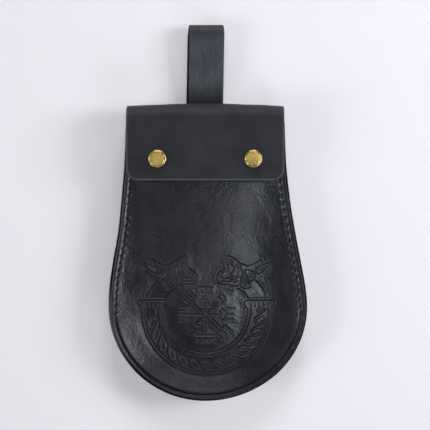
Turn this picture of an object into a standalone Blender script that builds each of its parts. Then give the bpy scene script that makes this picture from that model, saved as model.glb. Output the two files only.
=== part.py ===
# Belt pouch of black leather, lying on its back with its flap snapped shut.
# X runs across the pouch, Y towards the belt loop, Z up from the surface it lies on.
# The origin is under the middle of the whole pouch.

import math

import bmesh
import bpy
from mathutils import Vector

# Driving dimensions, in metres

PANEL_THICKNESS = 0.0020     # back panel, flap and front panel
GUSSET_THICKNESS = 0.0016
STRAP_THICKNESS = 0.0022
CLEARANCE = 0.0003           # between pieces that touch

# Body
BODY_WIDTH = 0.1380          # across the widest place, seams included
BODY_LENGTH = 0.2061         # fold of the flap to the lowest point
BOTTOM_LENGTH = 0.0648       # widest place to the lowest point
BOTTOM_DRIFT = -0.0017       # sideways, of the lowest point
DRIFT_POWER = 4              # higher keeps that drift nearer to the lowest point
SIDE_DEPTH = 0.0200          # surface below to the top of the front seam
BELLY_RISE = 0.0105          # front seam to the top of the belly
DOME_POWER = 2.8             # higher is flatter in the middle and steeper at the seam
MOUTH_SETBACK = 0.0130       # fold of the flap to the edge of the mouth

# Seams
SEAM_INSET = 0.0056          # outer edge to the stitches
SEAM_STEP = 0.0010           # gusset's edge to the front panel's edge
BACK_STEP = 0.0005           # gusset's edge to the back panel's edge
SEAM_RIDGE = 0.0005          # height of the ridge beside the stitches
GUSSET_INSET = 0.0086        # outer edge to the inside of the gusset's wall
GUSSET_BEND = 0.0020         # radius where the wall turns into its flanges

# Flap
FLAP_WIDTH = 0.1086
FLAP_LENGTH = 0.0538         # fold to the lower edge
FLAP_CORNER = 0.0088         # radius of the lower corners
FOLD_RISE = 0.0070           # front seam to the top of the fold
FOLD_BOW = 0.0018            # how far the fold stands out more in the middle

# Belt loop
STRAP_WIDTH = 0.0232
STRAP_OFFSET = 0.0008        # sideways, from the middle of the fold
STRAP_LEAN = 0.022           # sideways for each metre towards the end of the loop
STRAP_SKEW = 0.0027          # how far the back leg lies to the left of the front one
STRAP_TAIL = 0.0450          # length behind the back panel
LOOP_RISE = 0.0568           # fold of the flap to the end of the loop
LOOP_BEND = 0.0051           # radius of the middle of the strap at the end of the loop
LOOP_FULLNESS = 0.75         # lower opens the loop nearer to the fold
BACK_RAMP = 0.0700           # length over which the back panel climbs on to the strap

# Snaps
SNAP_SPACING = 0.0656        # between the two
SNAP_OFFSET = 0.0004         # sideways, from the middle of the flap
SNAP_FROM_EDGE = 0.0146      # centre to the flap's lower edge
POST_DIAMETER = 0.0040
CAP_DIAMETER = 0.0125
CAP_HEIGHT = 0.0024
CAP_RIM = 0.0008             # height of the rim under the dome
CAP_FLATNESS = 0.42          # lower is flatter
SOCKET_DIAMETER = 0.0104
SOCKET_PLATE = 0.0009
STUD_DIAMETER = 0.0100
STUD_BASE = 0.0005
KNOB_DIAMETER = 0.0058
KNOB_NECK = 0.0046           # diameter under the knob's head
KNOB_HEIGHT = 0.0022
RIVET_DIAMETER = 0.0080      # turned-over end inside the pouch

# Sections of the body, from the widest place (up 0) to the fold of the flap (up 1).
# width and drift are shares of half the body's width, rise is a share of the belly's rise.
SECTIONS = [
    {"up": 0.00, "width": 1.000, "drift": 0.0000, "rise": 1.00},
    {"up": 0.10, "width": 0.987, "drift": -0.0044, "rise": 0.97},
    {"up": 0.21, "width": 0.951, "drift": -0.0090, "rise": 0.88},
    {"up": 0.37, "width": 0.892, "drift": -0.0121, "rise": 0.68},
    {"up": 0.52, "width": 0.851, "drift": -0.0211, "rise": 0.47},
    {"up": 0.72, "width": 0.813, "drift": -0.0260, "rise": 0.29},
    {"up": 1.00, "width": 0.797, "drift": -0.0262, "rise": 0.20},
]

# Rows of the front seam, from the front panel's edge (across 0) to the stitches (across 1)
SEAM_ROWS = [
    {"across": 0.00, "height": 0.00},
    {"across": 0.14, "height": 0.45},
    {"across": 0.50, "height": 0.62},
    {"across": 0.78, "height": 1.00},
    {"across": 1.00, "height": 0.00},
]

# Shares of the way from the stitches to the middle line where the dome has a row
DOME_ROWS = [0.035, 0.09, 0.17, 0.28, 0.42, 0.60, 0.80, 1.0]

# Numbers of steps in the meshes
SIDE_STEPS = 16
BOTTOM_STEPS = 28
ACROSS_STEPS = 14
FOLD_STEPS = 10
FLAP_STEPS = 8
CORNER_STEPS = 5
BEND_STEPS = 10
RISE_STEPS = 14
TURN_STEPS = 24
DOME_STEPS = 6
GUSSET_BEND_STEPS = 3
STRAP_STEPS = 4
MERGE_DISTANCE = 0.00001

# Derived sizes and places

TOTAL_LENGTH = BODY_LENGTH + LOOP_RISE
BOTTOM_Y = -TOTAL_LENGTH / 2
LOOP_END_Y = TOTAL_LENGTH / 2
FOLD_Y = BOTTOM_Y + BODY_LENGTH
WIDEST_Y = BOTTOM_Y + BOTTOM_LENGTH
MOUTH_Y = FOLD_Y - MOUTH_SETBACK
HALF_WIDTH = BODY_WIDTH / 2
STRAP_LIFT = 2 * (STRAP_THICKNESS + CLEARANCE)
FOLD_TOP = SIDE_DEPTH + FOLD_RISE
FOLD_RADIUS = (FOLD_TOP - STRAP_LIFT) / 2
FOLD_START_Y = FOLD_Y - FOLD_RADIUS
FLAP_EDGE_Y = FOLD_Y - FLAP_LENGTH
SNAP_Y = FLAP_EDGE_Y + SNAP_FROM_EDGE
TAIL_Y = FOLD_Y - STRAP_TAIL
KNOB_TOP = CLEARANCE + STUD_BASE + KNOB_HEIGHT
SOCKET_BOTTOM = STUD_BASE + 2 * CLEARANCE
SOCKET_TOP = KNOB_TOP + CLEARANCE + SOCKET_PLATE
FLAP_GAP = SOCKET_TOP + CLEARANCE
POST_HOLE = POST_DIAMETER + 2 * CLEARANCE


# Curves of the body

def smooth_step(share):
    share = min(max(share, 0.0), 1.0)
    return share * share * (3 - 2 * share)


def section_value(column, up):
    """Smooth curve through one column of the sections, level at the widest place."""
    up = min(max(up, SECTIONS[0]["up"]), SECTIONS[-1]["up"])
    row = 0
    while row < len(SECTIONS) - 2 and up > SECTIONS[row + 1]["up"]:
        row += 1
    low = SECTIONS[row]
    high = SECTIONS[row + 1]
    span = high["up"] - low["up"]
    share = (up - low["up"]) / span
    slope_low = section_slope(column, row) * span
    slope_high = section_slope(column, row + 1) * span
    rise = high[column] - low[column]
    square = share * share
    cube = square * share
    bend = (cube - 2 * square + share) * slope_low + (cube - square) * slope_high
    return low[column] + rise * (3 * square - 2 * cube) + bend


def section_slope(column, row):
    if row == 0:
        return 0.0
    before = SECTIONS[row - 1]
    after = SECTIONS[min(row + 1, len(SECTIONS) - 1)]
    return (after[column] - before[column]) / (after["up"] - before["up"])


def share_up(y):
    return (y - WIDEST_Y) / (FOLD_Y - WIDEST_Y)


def share_down(y):
    return min(max((WIDEST_Y - y) / BOTTOM_LENGTH, 0.0), 1.0)


def drift_at(y):
    """Sideways place of the body's middle line."""
    if y >= WIDEST_Y:
        return HALF_WIDTH * section_value("drift", share_up(y))
    return BOTTOM_DRIFT * share_down(y) ** DRIFT_POWER


def half_width_at(y):
    if y >= WIDEST_Y:
        return HALF_WIDTH * section_value("width", share_up(y))
    return HALF_WIDTH * math.sqrt(1 - share_down(y) ** 2)


def front_height(x, y):
    """Height of the front panel's outer face inside the stitches."""
    across = abs(x - drift_at(y))
    if y >= WIDEST_Y:
        rise = BELLY_RISE * section_value("rise", share_up(y))
        reach = across / (half_width_at(y) - SEAM_INSET)
    else:
        rise = BELLY_RISE
        along = (WIDEST_Y - y) / (BOTTOM_LENGTH - SEAM_INSET)
        reach = math.hypot(across / (HALF_WIDTH - SEAM_INSET), along)
    return SIDE_DEPTH + rise * (1 - min(reach, 1.0) ** DOME_POWER)


def back_height(y):
    """Height of the back panel's outer face, which climbs on to the strap."""
    ramp_end = TAIL_Y - STRAP_THICKNESS
    return STRAP_LIFT * smooth_step((y - ramp_end + BACK_RAMP) / BACK_RAMP)


def flap_height(x, y):
    """Height of the flap's outer face, from the fold down over the front panel."""
    over_snaps = front_height(x, y) + FLAP_GAP + PANEL_THICKNESS
    settled_y = SNAP_Y + CAP_DIAMETER / 2
    share = smooth_step((FOLD_START_Y - y) / (FOLD_START_Y - settled_y))
    return FOLD_TOP + (over_snaps - FOLD_TOP) * share


def outline_stations():
    """Points of the gusset's outer edge with the way in, from the mouth round to the mouth."""
    places = []
    for step in range(SIDE_STEPS):
        y = MOUTH_Y + (WIDEST_Y - MOUTH_Y) * step / SIDE_STEPS
        places.append((-1, y, 0.0))
    for step in range(BOTTOM_STEPS + 1):
        angle = math.pi * step / BOTTOM_STEPS
        places.append((0, WIDEST_Y - BOTTOM_LENGTH * math.sin(angle), angle))
    for step in range(1, SIDE_STEPS + 1):
        y = WIDEST_Y + (MOUTH_Y - WIDEST_Y) * step / SIDE_STEPS
        places.append((1, y, 0.0))
    edge = []
    for side, y, angle in places:
        across = side * half_width_at(y) if side else -HALF_WIDTH * math.cos(angle)
        edge.append(Vector((drift_at(y) + across, y, 0.0)))
    stations = []
    last = len(edge) - 1
    for number, point in enumerate(edge):
        along = edge[min(number + 1, last)] - edge[max(number - 1, 0)]
        inward = Vector((-along.y, along.x, 0.0)).normalized()
        middle_y = max(point.y, WIDEST_Y)
        middle = Vector((drift_at(middle_y), middle_y, 0.0))
        stations.append({"point": point, "inward": inward, "middle": middle})
    return stations


# Scene helpers

def clear_scene():
    for item in list(bpy.data.objects):
        bpy.data.objects.remove(item, do_unlink=True)


def new_collection(name):
    collection = bpy.data.collections.new(name)
    bpy.context.scene.collection.children.link(collection)
    return collection


def new_material(name, colour, roughness, metallic):
    material = bpy.data.materials.new(name)
    material.use_nodes = True
    shader = material.node_tree.nodes["Principled BSDF"]
    shader.inputs["Base Color"].default_value = (*colour, 1.0)
    shader.inputs["Roughness"].default_value = roughness
    shader.inputs["Metallic"].default_value = metallic
    return material


def new_object(name, mesh, collection, material):
    item = bpy.data.objects.new(name, mesh)
    mesh.materials.append(material)
    collection.objects.link(item)
    return item


def sheet_mesh(name, rows):
    """Open sheet through rows of points; its outer face is on the left of each row's way."""
    mesh = bpy.data.meshes.new(name)
    shape = bmesh.new()
    grid = []
    for row in rows:
        grid.append([shape.verts.new(point) for point in row])
    for near, far in zip(grid, grid[1:]):
        for step in range(len(near) - 1):
            shape.faces.new((near[step], near[step + 1], far[step + 1], far[step]))
    bmesh.ops.remove_doubles(shape, verts=shape.verts, dist=MERGE_DISTANCE)
    shape.to_mesh(mesh)
    shape.free()
    mesh.shade_smooth()
    return mesh


def add_thickness(item, thickness, offset=-1.0):
    solidify = item.modifiers.new("leather", "SOLIDIFY")
    solidify.thickness = thickness
    solidify.offset = offset
    solidify.use_even_offset = True
    solidify.use_quality_normals = True


def add_hole(item, cutter):
    cut = item.modifiers.new(cutter.name, "BOOLEAN")
    cut.operation = "DIFFERENCE"
    cut.solver = "EXACT"
    cut.object = cutter


def turned_object(name, profile, collection, material):
    """Round piece turned about its own Z from a profile that runs down its outer side."""
    mesh = bpy.data.meshes.new(name)
    edges = [(step, step + 1) for step in range(len(profile) - 1)]
    mesh.from_pydata([(radius, 0.0, height) for radius, height in profile], edges, [])
    item = new_object(name, mesh, collection, material)
    screw = item.modifiers.new("turn", "SCREW")
    screw.axis = "Z"
    screw.angle = 2 * math.pi
    screw.steps = TURN_STEPS
    screw.render_steps = TURN_STEPS
    screw.use_merge_vertices = True
    screw.merge_threshold = MERGE_DISTANCE
    screw.use_smooth_shade = True
    return item


# Leather pieces

def build_back_panel_flap(collection, material):
    """Back, fold and flap in one sheet, from the lowest point to the flap's lower edge."""
    rows = []
    fold_drift = drift_at(FOLD_Y)
    back_depth = BOTTOM_LENGTH - BACK_STEP
    for step in range(BOTTOM_STEPS // 2):
        angle = math.pi / 2 * (1 - step / (BOTTOM_STEPS // 2))
        y = WIDEST_Y - back_depth * math.sin(angle)
        half = (HALF_WIDTH - BACK_STEP) * math.cos(angle)
        rows.append(back_row(drift_at(y), half, y))
    for step in range(SIDE_STEPS + 1):
        y = WIDEST_Y + (FOLD_START_Y - WIDEST_Y) * step / SIDE_STEPS
        towards_flap = smooth_step((y - FLAP_EDGE_Y) / (FOLD_START_Y - FLAP_EDGE_Y))
        half = half_width_at(y) - BACK_STEP
        half += (FLAP_WIDTH / 2 - half) * towards_flap
        rows.append(back_row(drift_at(y), half, y))
    for step in range(1, FOLD_STEPS + 1):
        angle = math.pi * step / FOLD_STEPS
        row = []
        for share in across_shares():
            stand_out = (FOLD_RADIUS - FOLD_BOW * share * share) * math.sin(angle)
            height = FOLD_TOP - FOLD_RADIUS * (1 + math.cos(angle))
            x = fold_drift + FLAP_WIDTH / 2 * share
            row.append((x, FOLD_START_Y + stand_out, height))
        rows.append(row)
    corner_y = FLAP_EDGE_Y + FLAP_CORNER
    for step in range(1, FLAP_STEPS + 1):
        y = FOLD_START_Y + (corner_y - FOLD_START_Y) * step / FLAP_STEPS
        rows.append(flap_row(fold_drift, FLAP_WIDTH / 2, y))
    for step in range(1, CORNER_STEPS + 1):
        angle = math.pi / 2 * step / CORNER_STEPS
        half = FLAP_WIDTH / 2 - FLAP_CORNER * (1 - math.cos(angle))
        rows.append(flap_row(fold_drift, half, corner_y - FLAP_CORNER * math.sin(angle)))
    mesh = sheet_mesh("back_panel_flap", rows)
    item = new_object("back_panel_flap", mesh, collection, material)
    add_thickness(item, PANEL_THICKNESS)
    return item


def across_shares():
    """Shares of the half width, from right to left so that the sheet faces out."""
    return [1 - 2 * step / ACROSS_STEPS for step in range(ACROSS_STEPS + 1)]


def back_row(middle, half, y):
    return [(middle + half * share, y, back_height(y)) for share in across_shares()]


def flap_row(middle, half, y):
    row = []
    for share in across_shares():
        x = middle + half * share
        row.append((x, y, flap_height(x, y)))
    return row


def build_front_panel(collection, material):
    """Domed panel with a flat seam edge, a ridge and a groove for the stitches."""
    stations = outline_stations()
    rows = []
    for seam in SEAM_ROWS:
        inset = SEAM_STEP + (SEAM_INSET - SEAM_STEP) * seam["across"]
        height = SIDE_DEPTH + SEAM_RIDGE * seam["height"]
        row = []
        for station in stations:
            point = station["point"] + station["inward"] * inset
            row.append((point.x, point.y, height))
        rows.append(row)
    for share in DOME_ROWS:
        row = []
        for station in stations:
            stitch = station["point"] + station["inward"] * SEAM_INSET
            point = stitch.lerp(station["middle"], share)
            row.append((point.x, point.y, front_height(point.x, point.y)))
        rows.append(row)
    mesh = sheet_mesh("front_panel", rows)
    item = new_object("front_panel", mesh, collection, material)
    add_thickness(item, PANEL_THICKNESS)
    return item


def build_gusset(collection, material):
    """Strip round the sides and the bottom, its two flanges turned out under the seams."""
    front = SIDE_DEPTH - PANEL_THICKNESS - CLEARANCE
    back = PANEL_THICKNESS + CLEARANCE
    rows = [gusset_row(0.0, front, 0.0)]
    rows.append(gusset_row((GUSSET_INSET - GUSSET_BEND) / 2, front, 0.0))
    for end, sign in ((front, -1), (back, 1)):
        corner = []
        for step in range(GUSSET_BEND_STEPS + 1):
            angle = math.pi / 2 * step / GUSSET_BEND_STEPS
            inset = GUSSET_INSET - GUSSET_BEND * (1 - math.sin(angle))
            offset = sign * GUSSET_BEND * (1 - math.cos(angle))
            corner.append((inset, end + offset))
        if sign > 0:
            corner.reverse()
        for inset, height in corner:
            rows.append(gusset_row(inset, height, float(sign > 0)))
    rows.append(gusset_row((GUSSET_INSET - GUSSET_BEND) / 2, back, 1.0))
    rows.append(gusset_row(0.0, back, 1.0))
    mesh = sheet_mesh("gusset", rows)
    item = new_object("gusset", mesh, collection, material)
    add_thickness(item, GUSSET_THICKNESS)
    return item


def gusset_row(inset, height, follows_back):
    row = []
    for station in outline_stations():
        point = station["point"] + station["inward"] * inset
        row.append((point.x, point.y, height + follows_back * back_height(point.y)))
    return row


def loop_route():
    """Middle of the strap seen from the side: y, z and the share of the way to the front leg."""
    lower = STRAP_THICKNESS / 2
    upper = lower + STRAP_THICKNESS + CLEARANCE
    bend_y = LOOP_END_Y - STRAP_THICKNESS / 2 - LOOP_BEND
    bend_z = lower + LOOP_BEND
    rise_start = FOLD_START_Y
    route = []
    for step in range(RISE_STEPS + 1):
        route.append((TAIL_Y + (bend_y - TAIL_Y) * step / RISE_STEPS, lower, 0.0))
    for step in range(1, BEND_STEPS):
        angle = math.pi * step / BEND_STEPS
        y = bend_y + LOOP_BEND * math.sin(angle)
        route.append((y, bend_z - LOOP_BEND * math.cos(angle), step / BEND_STEPS))
    for step in range(RISE_STEPS + 1):
        y = bend_y + (rise_start - bend_y) * step / RISE_STEPS
        share = 1 - step / RISE_STEPS
        height = upper + (bend_z + LOOP_BEND - upper) * smooth_step(share ** LOOP_FULLNESS)
        route.append((y, height, 1.0))
    tail_steps = RISE_STEPS // 2
    for step in range(1, tail_steps + 1):
        route.append((rise_start + (TAIL_Y - rise_start) * step / tail_steps, upper, 1.0))
    return route


def build_belt_loop(collection, material):
    """One strap folded over, its two legs behind the back panel."""
    middle = drift_at(FOLD_Y) + STRAP_OFFSET
    rows = []
    for y, z, share in loop_route():
        centre = middle + STRAP_LEAN * (y - FOLD_Y) - STRAP_SKEW * (1 - share)
        row = []
        for step in range(STRAP_STEPS + 1):
            across = STRAP_WIDTH * (0.5 - step / STRAP_STEPS)
            row.append((centre + across, y, z))
        rows.append(row)
    mesh = sheet_mesh("belt_loop", rows)
    item = new_object("belt_loop", mesh, collection, material)
    add_thickness(item, STRAP_THICKNESS, 0.0)
    return item


# Snaps

def cap_profile():
    """Domed cap with its post, height 0 at the flap's outer face."""
    profile = []
    for step in range(DOME_STEPS + 1):
        angle = math.pi / 2 * step / DOME_STEPS
        radius = CAP_DIAMETER / 2 * math.sin(angle)
        dome = (CAP_HEIGHT - CAP_RIM) * max(math.cos(angle), 0.0) ** CAP_FLATNESS
        profile.append((radius, CLEARANCE + CAP_RIM + dome))
    profile[0] = (0.0, CLEARANCE + CAP_HEIGHT)
    profile[-1] = (CAP_DIAMETER / 2, CLEARANCE + CAP_RIM)
    profile.append((CAP_DIAMETER / 2 - CAP_RIM / 2, CLEARANCE))
    post_end = -(PANEL_THICKNESS + CLEARANCE + SOCKET_PLATE)
    profile.append((POST_DIAMETER / 2, CLEARANCE))
    profile.append((POST_DIAMETER / 2, post_end))
    profile.append((0.0, post_end))
    return profile


def socket_profile():
    """Ring under the flap that grips the knob, height 0 at the front panel's outer face."""
    bore = KNOB_DIAMETER / 2 + CLEARANCE
    roof = KNOB_TOP + CLEARANCE
    lip = (SOCKET_TOP - SOCKET_BOTTOM) / 4
    return [
        (POST_HOLE / 2, SOCKET_TOP),
        (SOCKET_DIAMETER / 2 - lip, SOCKET_TOP),
        (SOCKET_DIAMETER / 2, SOCKET_TOP - lip),
        (SOCKET_DIAMETER / 2, SOCKET_BOTTOM + lip),
        (SOCKET_DIAMETER / 2 - lip, SOCKET_BOTTOM),
        (bore, SOCKET_BOTTOM),
        (bore, roof),
        (POST_HOLE / 2, roof),
        (POST_HOLE / 2, SOCKET_TOP),
    ]


def stud_profile():
    """Knob, base, post and turned-over end, height 0 at the front panel's outer face."""
    inside = -(PANEL_THICKNESS + CLEARANCE)
    base_top = CLEARANCE + STUD_BASE
    return [
        (0.0, KNOB_TOP),
        (KNOB_DIAMETER / 3, KNOB_TOP),
        (KNOB_DIAMETER / 2, KNOB_TOP - KNOB_HEIGHT / 3),
        (KNOB_NECK / 2, base_top + KNOB_HEIGHT / 4),
        (KNOB_NECK / 2, base_top),
        (STUD_DIAMETER / 2, base_top),
        (STUD_DIAMETER / 2, CLEARANCE),
        (POST_DIAMETER / 2, CLEARANCE),
        (POST_DIAMETER / 2, inside),
        (RIVET_DIAMETER / 2, inside),
        (RIVET_DIAMETER / 2, inside - STUD_BASE),
        (0.0, inside - STUD_BASE),
    ]


def snap_empty(name, x, collection):
    """Empty on the front panel's outer face, its Z square to that face."""
    reach = POST_DIAMETER / 2
    across = front_height(x + reach, SNAP_Y) - front_height(x - reach, SNAP_Y)
    along = front_height(x, SNAP_Y + reach) - front_height(x, SNAP_Y - reach)
    axis = Vector((-across, -along, 2 * reach)).normalized()
    empty = bpy.data.objects.new(name, None)
    empty.empty_display_size = CAP_DIAMETER
    empty.location = (x, SNAP_Y, front_height(x, SNAP_Y))
    empty.rotation_mode = "QUATERNION"
    empty.rotation_quaternion = axis.to_track_quat("Z", "Y")
    collection.objects.link(empty)
    return empty


def build_cutter(name, empty, height, collection):
    """Cylinder for a post's hole, along the snap's axis."""
    mesh = bpy.data.meshes.new(name)
    shape = bmesh.new()
    bmesh.ops.create_cone(
        shape, cap_ends=True, segments=TURN_STEPS,
        radius1=POST_HOLE / 2, radius2=POST_HOLE / 2, depth=3 * PANEL_THICKNESS,
    )
    shape.to_mesh(mesh)
    shape.free()
    cutter = bpy.data.objects.new(name, mesh)
    cutter.parent = empty
    cutter.location = (0.0, 0.0, height)
    cutter.hide_render = True
    cutter.display_type = "WIRE"
    collection.objects.link(cutter)
    return cutter


def build_snap(side, x, collection, cutters, brass, back, front):
    """Cap and socket on the flap, stud on the front panel, all on one axis."""
    empty = snap_empty("snap_" + side, x, collection)
    pieces = (
        ("snap_cap_", cap_profile(), FLAP_GAP + PANEL_THICKNESS),
        ("snap_socket_", socket_profile(), 0.0),
        ("snap_stud_", stud_profile(), 0.0),
    )
    for prefix, profile, height in pieces:
        piece = turned_object(prefix + side, profile, collection, brass)
        piece.parent = empty
        piece.location = (0.0, 0.0, height)
    flap_middle = FLAP_GAP + PANEL_THICKNESS / 2
    add_hole(back, build_cutter("flap_hole_" + side, empty, flap_middle, cutters))
    add_hole(front, build_cutter("front_hole_" + side, empty, -PANEL_THICKNESS / 2, cutters))


def main():
    clear_scene()
    pouch = new_collection("belt_pouch")
    cutters = new_collection("cutters")
    flap_leather = new_material("flap_leather", (0.034, 0.036, 0.037), 0.62, 0.0)
    front_leather = new_material("front_leather", (0.020, 0.022, 0.026), 0.42, 0.0)
    gusset_leather = new_material("gusset_leather", (0.018, 0.018, 0.018), 0.60, 0.0)
    strap_leather = new_material("strap_leather", (0.030, 0.032, 0.036), 0.50, 0.0)
    brass = new_material("brass", (0.42, 0.30, 0.075), 0.28, 1.0)
    back = build_back_panel_flap(pouch, flap_leather)
    front = build_front_panel(pouch, front_leather)
    build_gusset(pouch, gusset_leather)
    build_belt_loop(pouch, strap_leather)
    for side, sign in (("left", -1), ("right", 1)):
        x = drift_at(FOLD_Y) + SNAP_OFFSET + sign * SNAP_SPACING / 2
        build_snap(side, x, pouch, cutters, brass, back, front)
    bpy.context.view_layer.update()


main()
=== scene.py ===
# Black leather belt pouch with a pressed ornament, lying on its back in a plain studio.
# X runs across the pouch, Y towards its belt loop, Z up from the floor. Lengths are in metres.

import math
from contextlib import contextmanager

import bmesh
import bpy
import numpy as np
from mathutils import Matrix, Vector
from mathutils.geometry import delaunay_2d_cdt
from mathutils.kdtree import KDTree


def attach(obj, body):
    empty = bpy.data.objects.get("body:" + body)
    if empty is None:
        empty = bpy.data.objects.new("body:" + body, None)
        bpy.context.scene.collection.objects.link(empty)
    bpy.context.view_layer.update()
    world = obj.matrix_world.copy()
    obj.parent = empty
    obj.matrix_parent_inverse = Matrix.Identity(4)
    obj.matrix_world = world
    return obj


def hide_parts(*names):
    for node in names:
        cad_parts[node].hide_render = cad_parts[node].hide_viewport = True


mm = 0.001

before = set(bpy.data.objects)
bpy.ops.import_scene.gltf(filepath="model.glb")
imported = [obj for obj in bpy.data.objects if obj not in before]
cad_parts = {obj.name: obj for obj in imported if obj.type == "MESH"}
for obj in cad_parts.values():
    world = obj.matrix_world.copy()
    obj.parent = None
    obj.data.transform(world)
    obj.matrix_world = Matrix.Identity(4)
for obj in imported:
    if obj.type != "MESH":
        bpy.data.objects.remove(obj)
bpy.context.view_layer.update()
print("frame loaded with", len(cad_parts), "nodes")


# Shape of the body: that of the solids, 0.7 mm longer at the bottom

body = {
    "halfWidth": 69.0 * mm,
    "foldY": 74.65 * mm,         # fold of the flap
    "length": 206.8 * mm,        # from there to the lowest point
    "bottomLength": 65.5 * mm,   # widest place to the lowest point
    "bottomDrift": -1.7 * mm,    # sideways, of the lowest point
    "driftPower": 4,
    "seamHeight": 20.0 * mm,     # top of the front seam
    "bellyRise": 10.5 * mm,      # front seam to the top of the belly
    "domePower": 2.8,
    "mouthSetback": 13.0 * mm,   # fold of the flap to the edge of the mouth
    "seamInset": 5.6 * mm,       # outer edge to the stitches
    "loopRise": 56.8 * mm,       # fold of the flap to the end of the loop
    "panel": 2.0 * mm,           # thickness of the panels
}

# Share of half the body's width, its sideways drift and its rise, up from the widest place
sections = {
    "up": [0.00, 0.10, 0.21, 0.37, 0.52, 0.72, 1.00],
    "width": [1.000, 0.987, 0.951, 0.892, 0.851, 0.813, 0.797],
    "drift": [0.0000, -0.0044, -0.0090, -0.0121, -0.0211, -0.0260, -0.0262],
    "rise": [1.00, 0.97, 0.88, 0.68, 0.47, 0.29, 0.20],
}

foldY = body["foldY"]
bottomY = foldY - body["length"]
widestY = bottomY + body["bottomLength"]
mouthY = foldY - body["mouthSetback"]


def smoothStep(share):
    share = np.clip(share, 0.0, 1.0)
    return share * share * (3 - 2 * share)


def fadeIn(value, start, over):
    # from 0 at the start to 1 that much further on
    return smoothStep((value - start) / over)


def sectionValue(column, y):
    ups, values = np.array(sections["up"]), np.array(sections[column])
    slopes = np.zeros(len(ups))
    slopes[1:-1] = (values[2:] - values[:-2]) / (ups[2:] - ups[:-2])
    slopes[-1] = (values[-1] - values[-2]) / (ups[-1] - ups[-2])
    up = np.clip((y - widestY) / (foldY - widestY), 0.0, 1.0)
    row = np.clip(np.searchsorted(ups, up) - 1, 0, len(ups) - 2)
    span = ups[row + 1] - ups[row]
    share = (up - ups[row]) / span
    square, cube = share**2, share**3
    along = (cube - 2 * square + share) * slopes[row] + (cube - square) * slopes[row + 1]
    return values[row] + (values[row + 1] - values[row]) * (3 * square - 2 * cube) + along * span


def shareDown(y):
    return np.clip((widestY - y) / body["bottomLength"], 0.0, 1.0)


def driftAt(y):
    below = body["bottomDrift"] * shareDown(y) ** body["driftPower"]
    return body["halfWidth"] * sectionValue("drift", y) + below


def halfWidthAt(y):
    return body["halfWidth"] * sectionValue("width", y) * np.sqrt(1 - shareDown(y) ** 2)


def frontHeight(x, y, seamInset=body["seamInset"]):
    across = np.abs(x - driftAt(y))
    up = np.asarray(y) >= widestY
    wide = np.where(up, halfWidthAt(y), body["halfWidth"]) - seamInset
    along = np.where(up, 0.0, (widestY - y) / (body["bottomLength"] - seamInset))
    reach = np.minimum(np.hypot(across / wide, along), 1.0)
    rise = body["bellyRise"] * sectionValue("rise", y)
    return body["seamHeight"] + rise * (1 - reach ** body["domePower"])


def unevenness(x, y, size, seed):
    # soft waves of roughly that size, between -1 and 1
    waves = np.random.default_rng(seed).uniform(0, 1, (7, 3))
    total = 0.0
    for turn, phase, stretch in waves * (2 * math.pi, 2 * math.pi, 1.0):
        wave = 2 * math.pi / (size * (0.7 + 0.9 * stretch))
        total = total + np.sin(wave * (x * math.cos(turn) + y * math.sin(turn)) + phase)
    return total / 4


def lengthsOf(points):
    # the way walked from the first point to each
    return np.concatenate([[0.0], np.cumsum(np.hypot(*np.diff(points, axis=0).T))])


def pointsAlong(points, lengths, along):
    return np.stack([np.interp(along, lengths, points[:, n]) for n in (0, 1)], 1)


def walkOutline(step):
    # the body's outer edge from the mouth down the left side, round the bottom and up again
    down = np.linspace(mouthY, widestY, 400)[:-1]
    angle = np.linspace(0, math.pi, 800)
    left = np.stack([driftAt(down) - halfWidthAt(down), down], 1)
    roundY = widestY - body["bottomLength"] * np.sin(angle)
    under = np.stack([driftAt(roundY) - body["halfWidth"] * np.cos(angle), roundY], 1)
    right = np.stack([driftAt(down) + halfWidthAt(down), down], 1)[::-1]
    dense = np.concatenate([left, under, right])
    lengths = lengthsOf(dense)
    along = np.linspace(0, lengths[-1], int(round(lengths[-1] / step)) + 1)
    points = pointsAlong(dense, lengths, along)
    tangent = np.gradient(points, axis=0)
    tangent /= np.hypot(tangent[:, 0], tangent[:, 1])[:, None]
    return {"points": points, "inward": np.stack([-tangent[:, 1], tangent[:, 0]], 1), "along": along}


def flatTree(places):
    tree = KDTree(len(places))
    for number, spot in enumerate(places):
        tree.insert((spot[0], spot[1], 0.0), number)
    tree.balance()
    return tree


def nearestIn(tree, x, y):
    # number of the nearest place and the distance to it, for every point
    found = [tree.find((a, b, 0.0))[1:] for a, b in zip(x, y)]
    return np.array([f[0] for f in found]), np.array([f[1] for f in found])


outline = walkOutline(0.25 * mm)
outlineLength = outline["along"][-1]
outlineTree = flatTree(outline["points"])


def outlineDistance(x, y):
    # distance in from the outer edge, and the place along it
    nearest = nearestIn(outlineTree, x, y)[0]
    offset = np.stack([x, y], 1) - outline["points"][nearest]
    return (offset * outline["inward"][nearest]).sum(1), outline["along"][nearest]


def stretchShare(along, stretch):
    # 1 on that stretch of the outline and 0 off it: where it fades in and out, and over how much
    (start, fadeFirst), (end, fadeLast) = stretch
    share = along / outlineLength
    return fadeIn(share, start, fadeFirst) * (1 - fadeIn(share, end, fadeLast))


# Materials

def linearColour(hexValue):
    channels = [int(hexValue[place:place + 2], 16) / 255 for place in (1, 3, 5)]
    linear = [c / 12.92 if c <= 0.04045 else ((c + 0.055) / 1.055) ** 2.4 for c in channels]
    return (*linear, 1.0)


def addNode(tree, kind, output=None, inputs=None, **settings):
    # gives back the named output, or all of them
    node = tree.nodes.new(kind)
    for name, value in settings.items():
        setattr(node, name, value)
    for key, value in (inputs or {}).items():
        if isinstance(value, bpy.types.NodeSocket):
            tree.links.new(value, node.inputs[key])
        else:
            node.inputs[key].default_value = value
    return node.outputs if output is None else node.outputs[output]


def newMaterial(name):
    material = bpy.data.materials.new(name)
    material.use_nodes = True
    material.node_tree.nodes.clear()
    return material, material.node_tree


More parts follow.
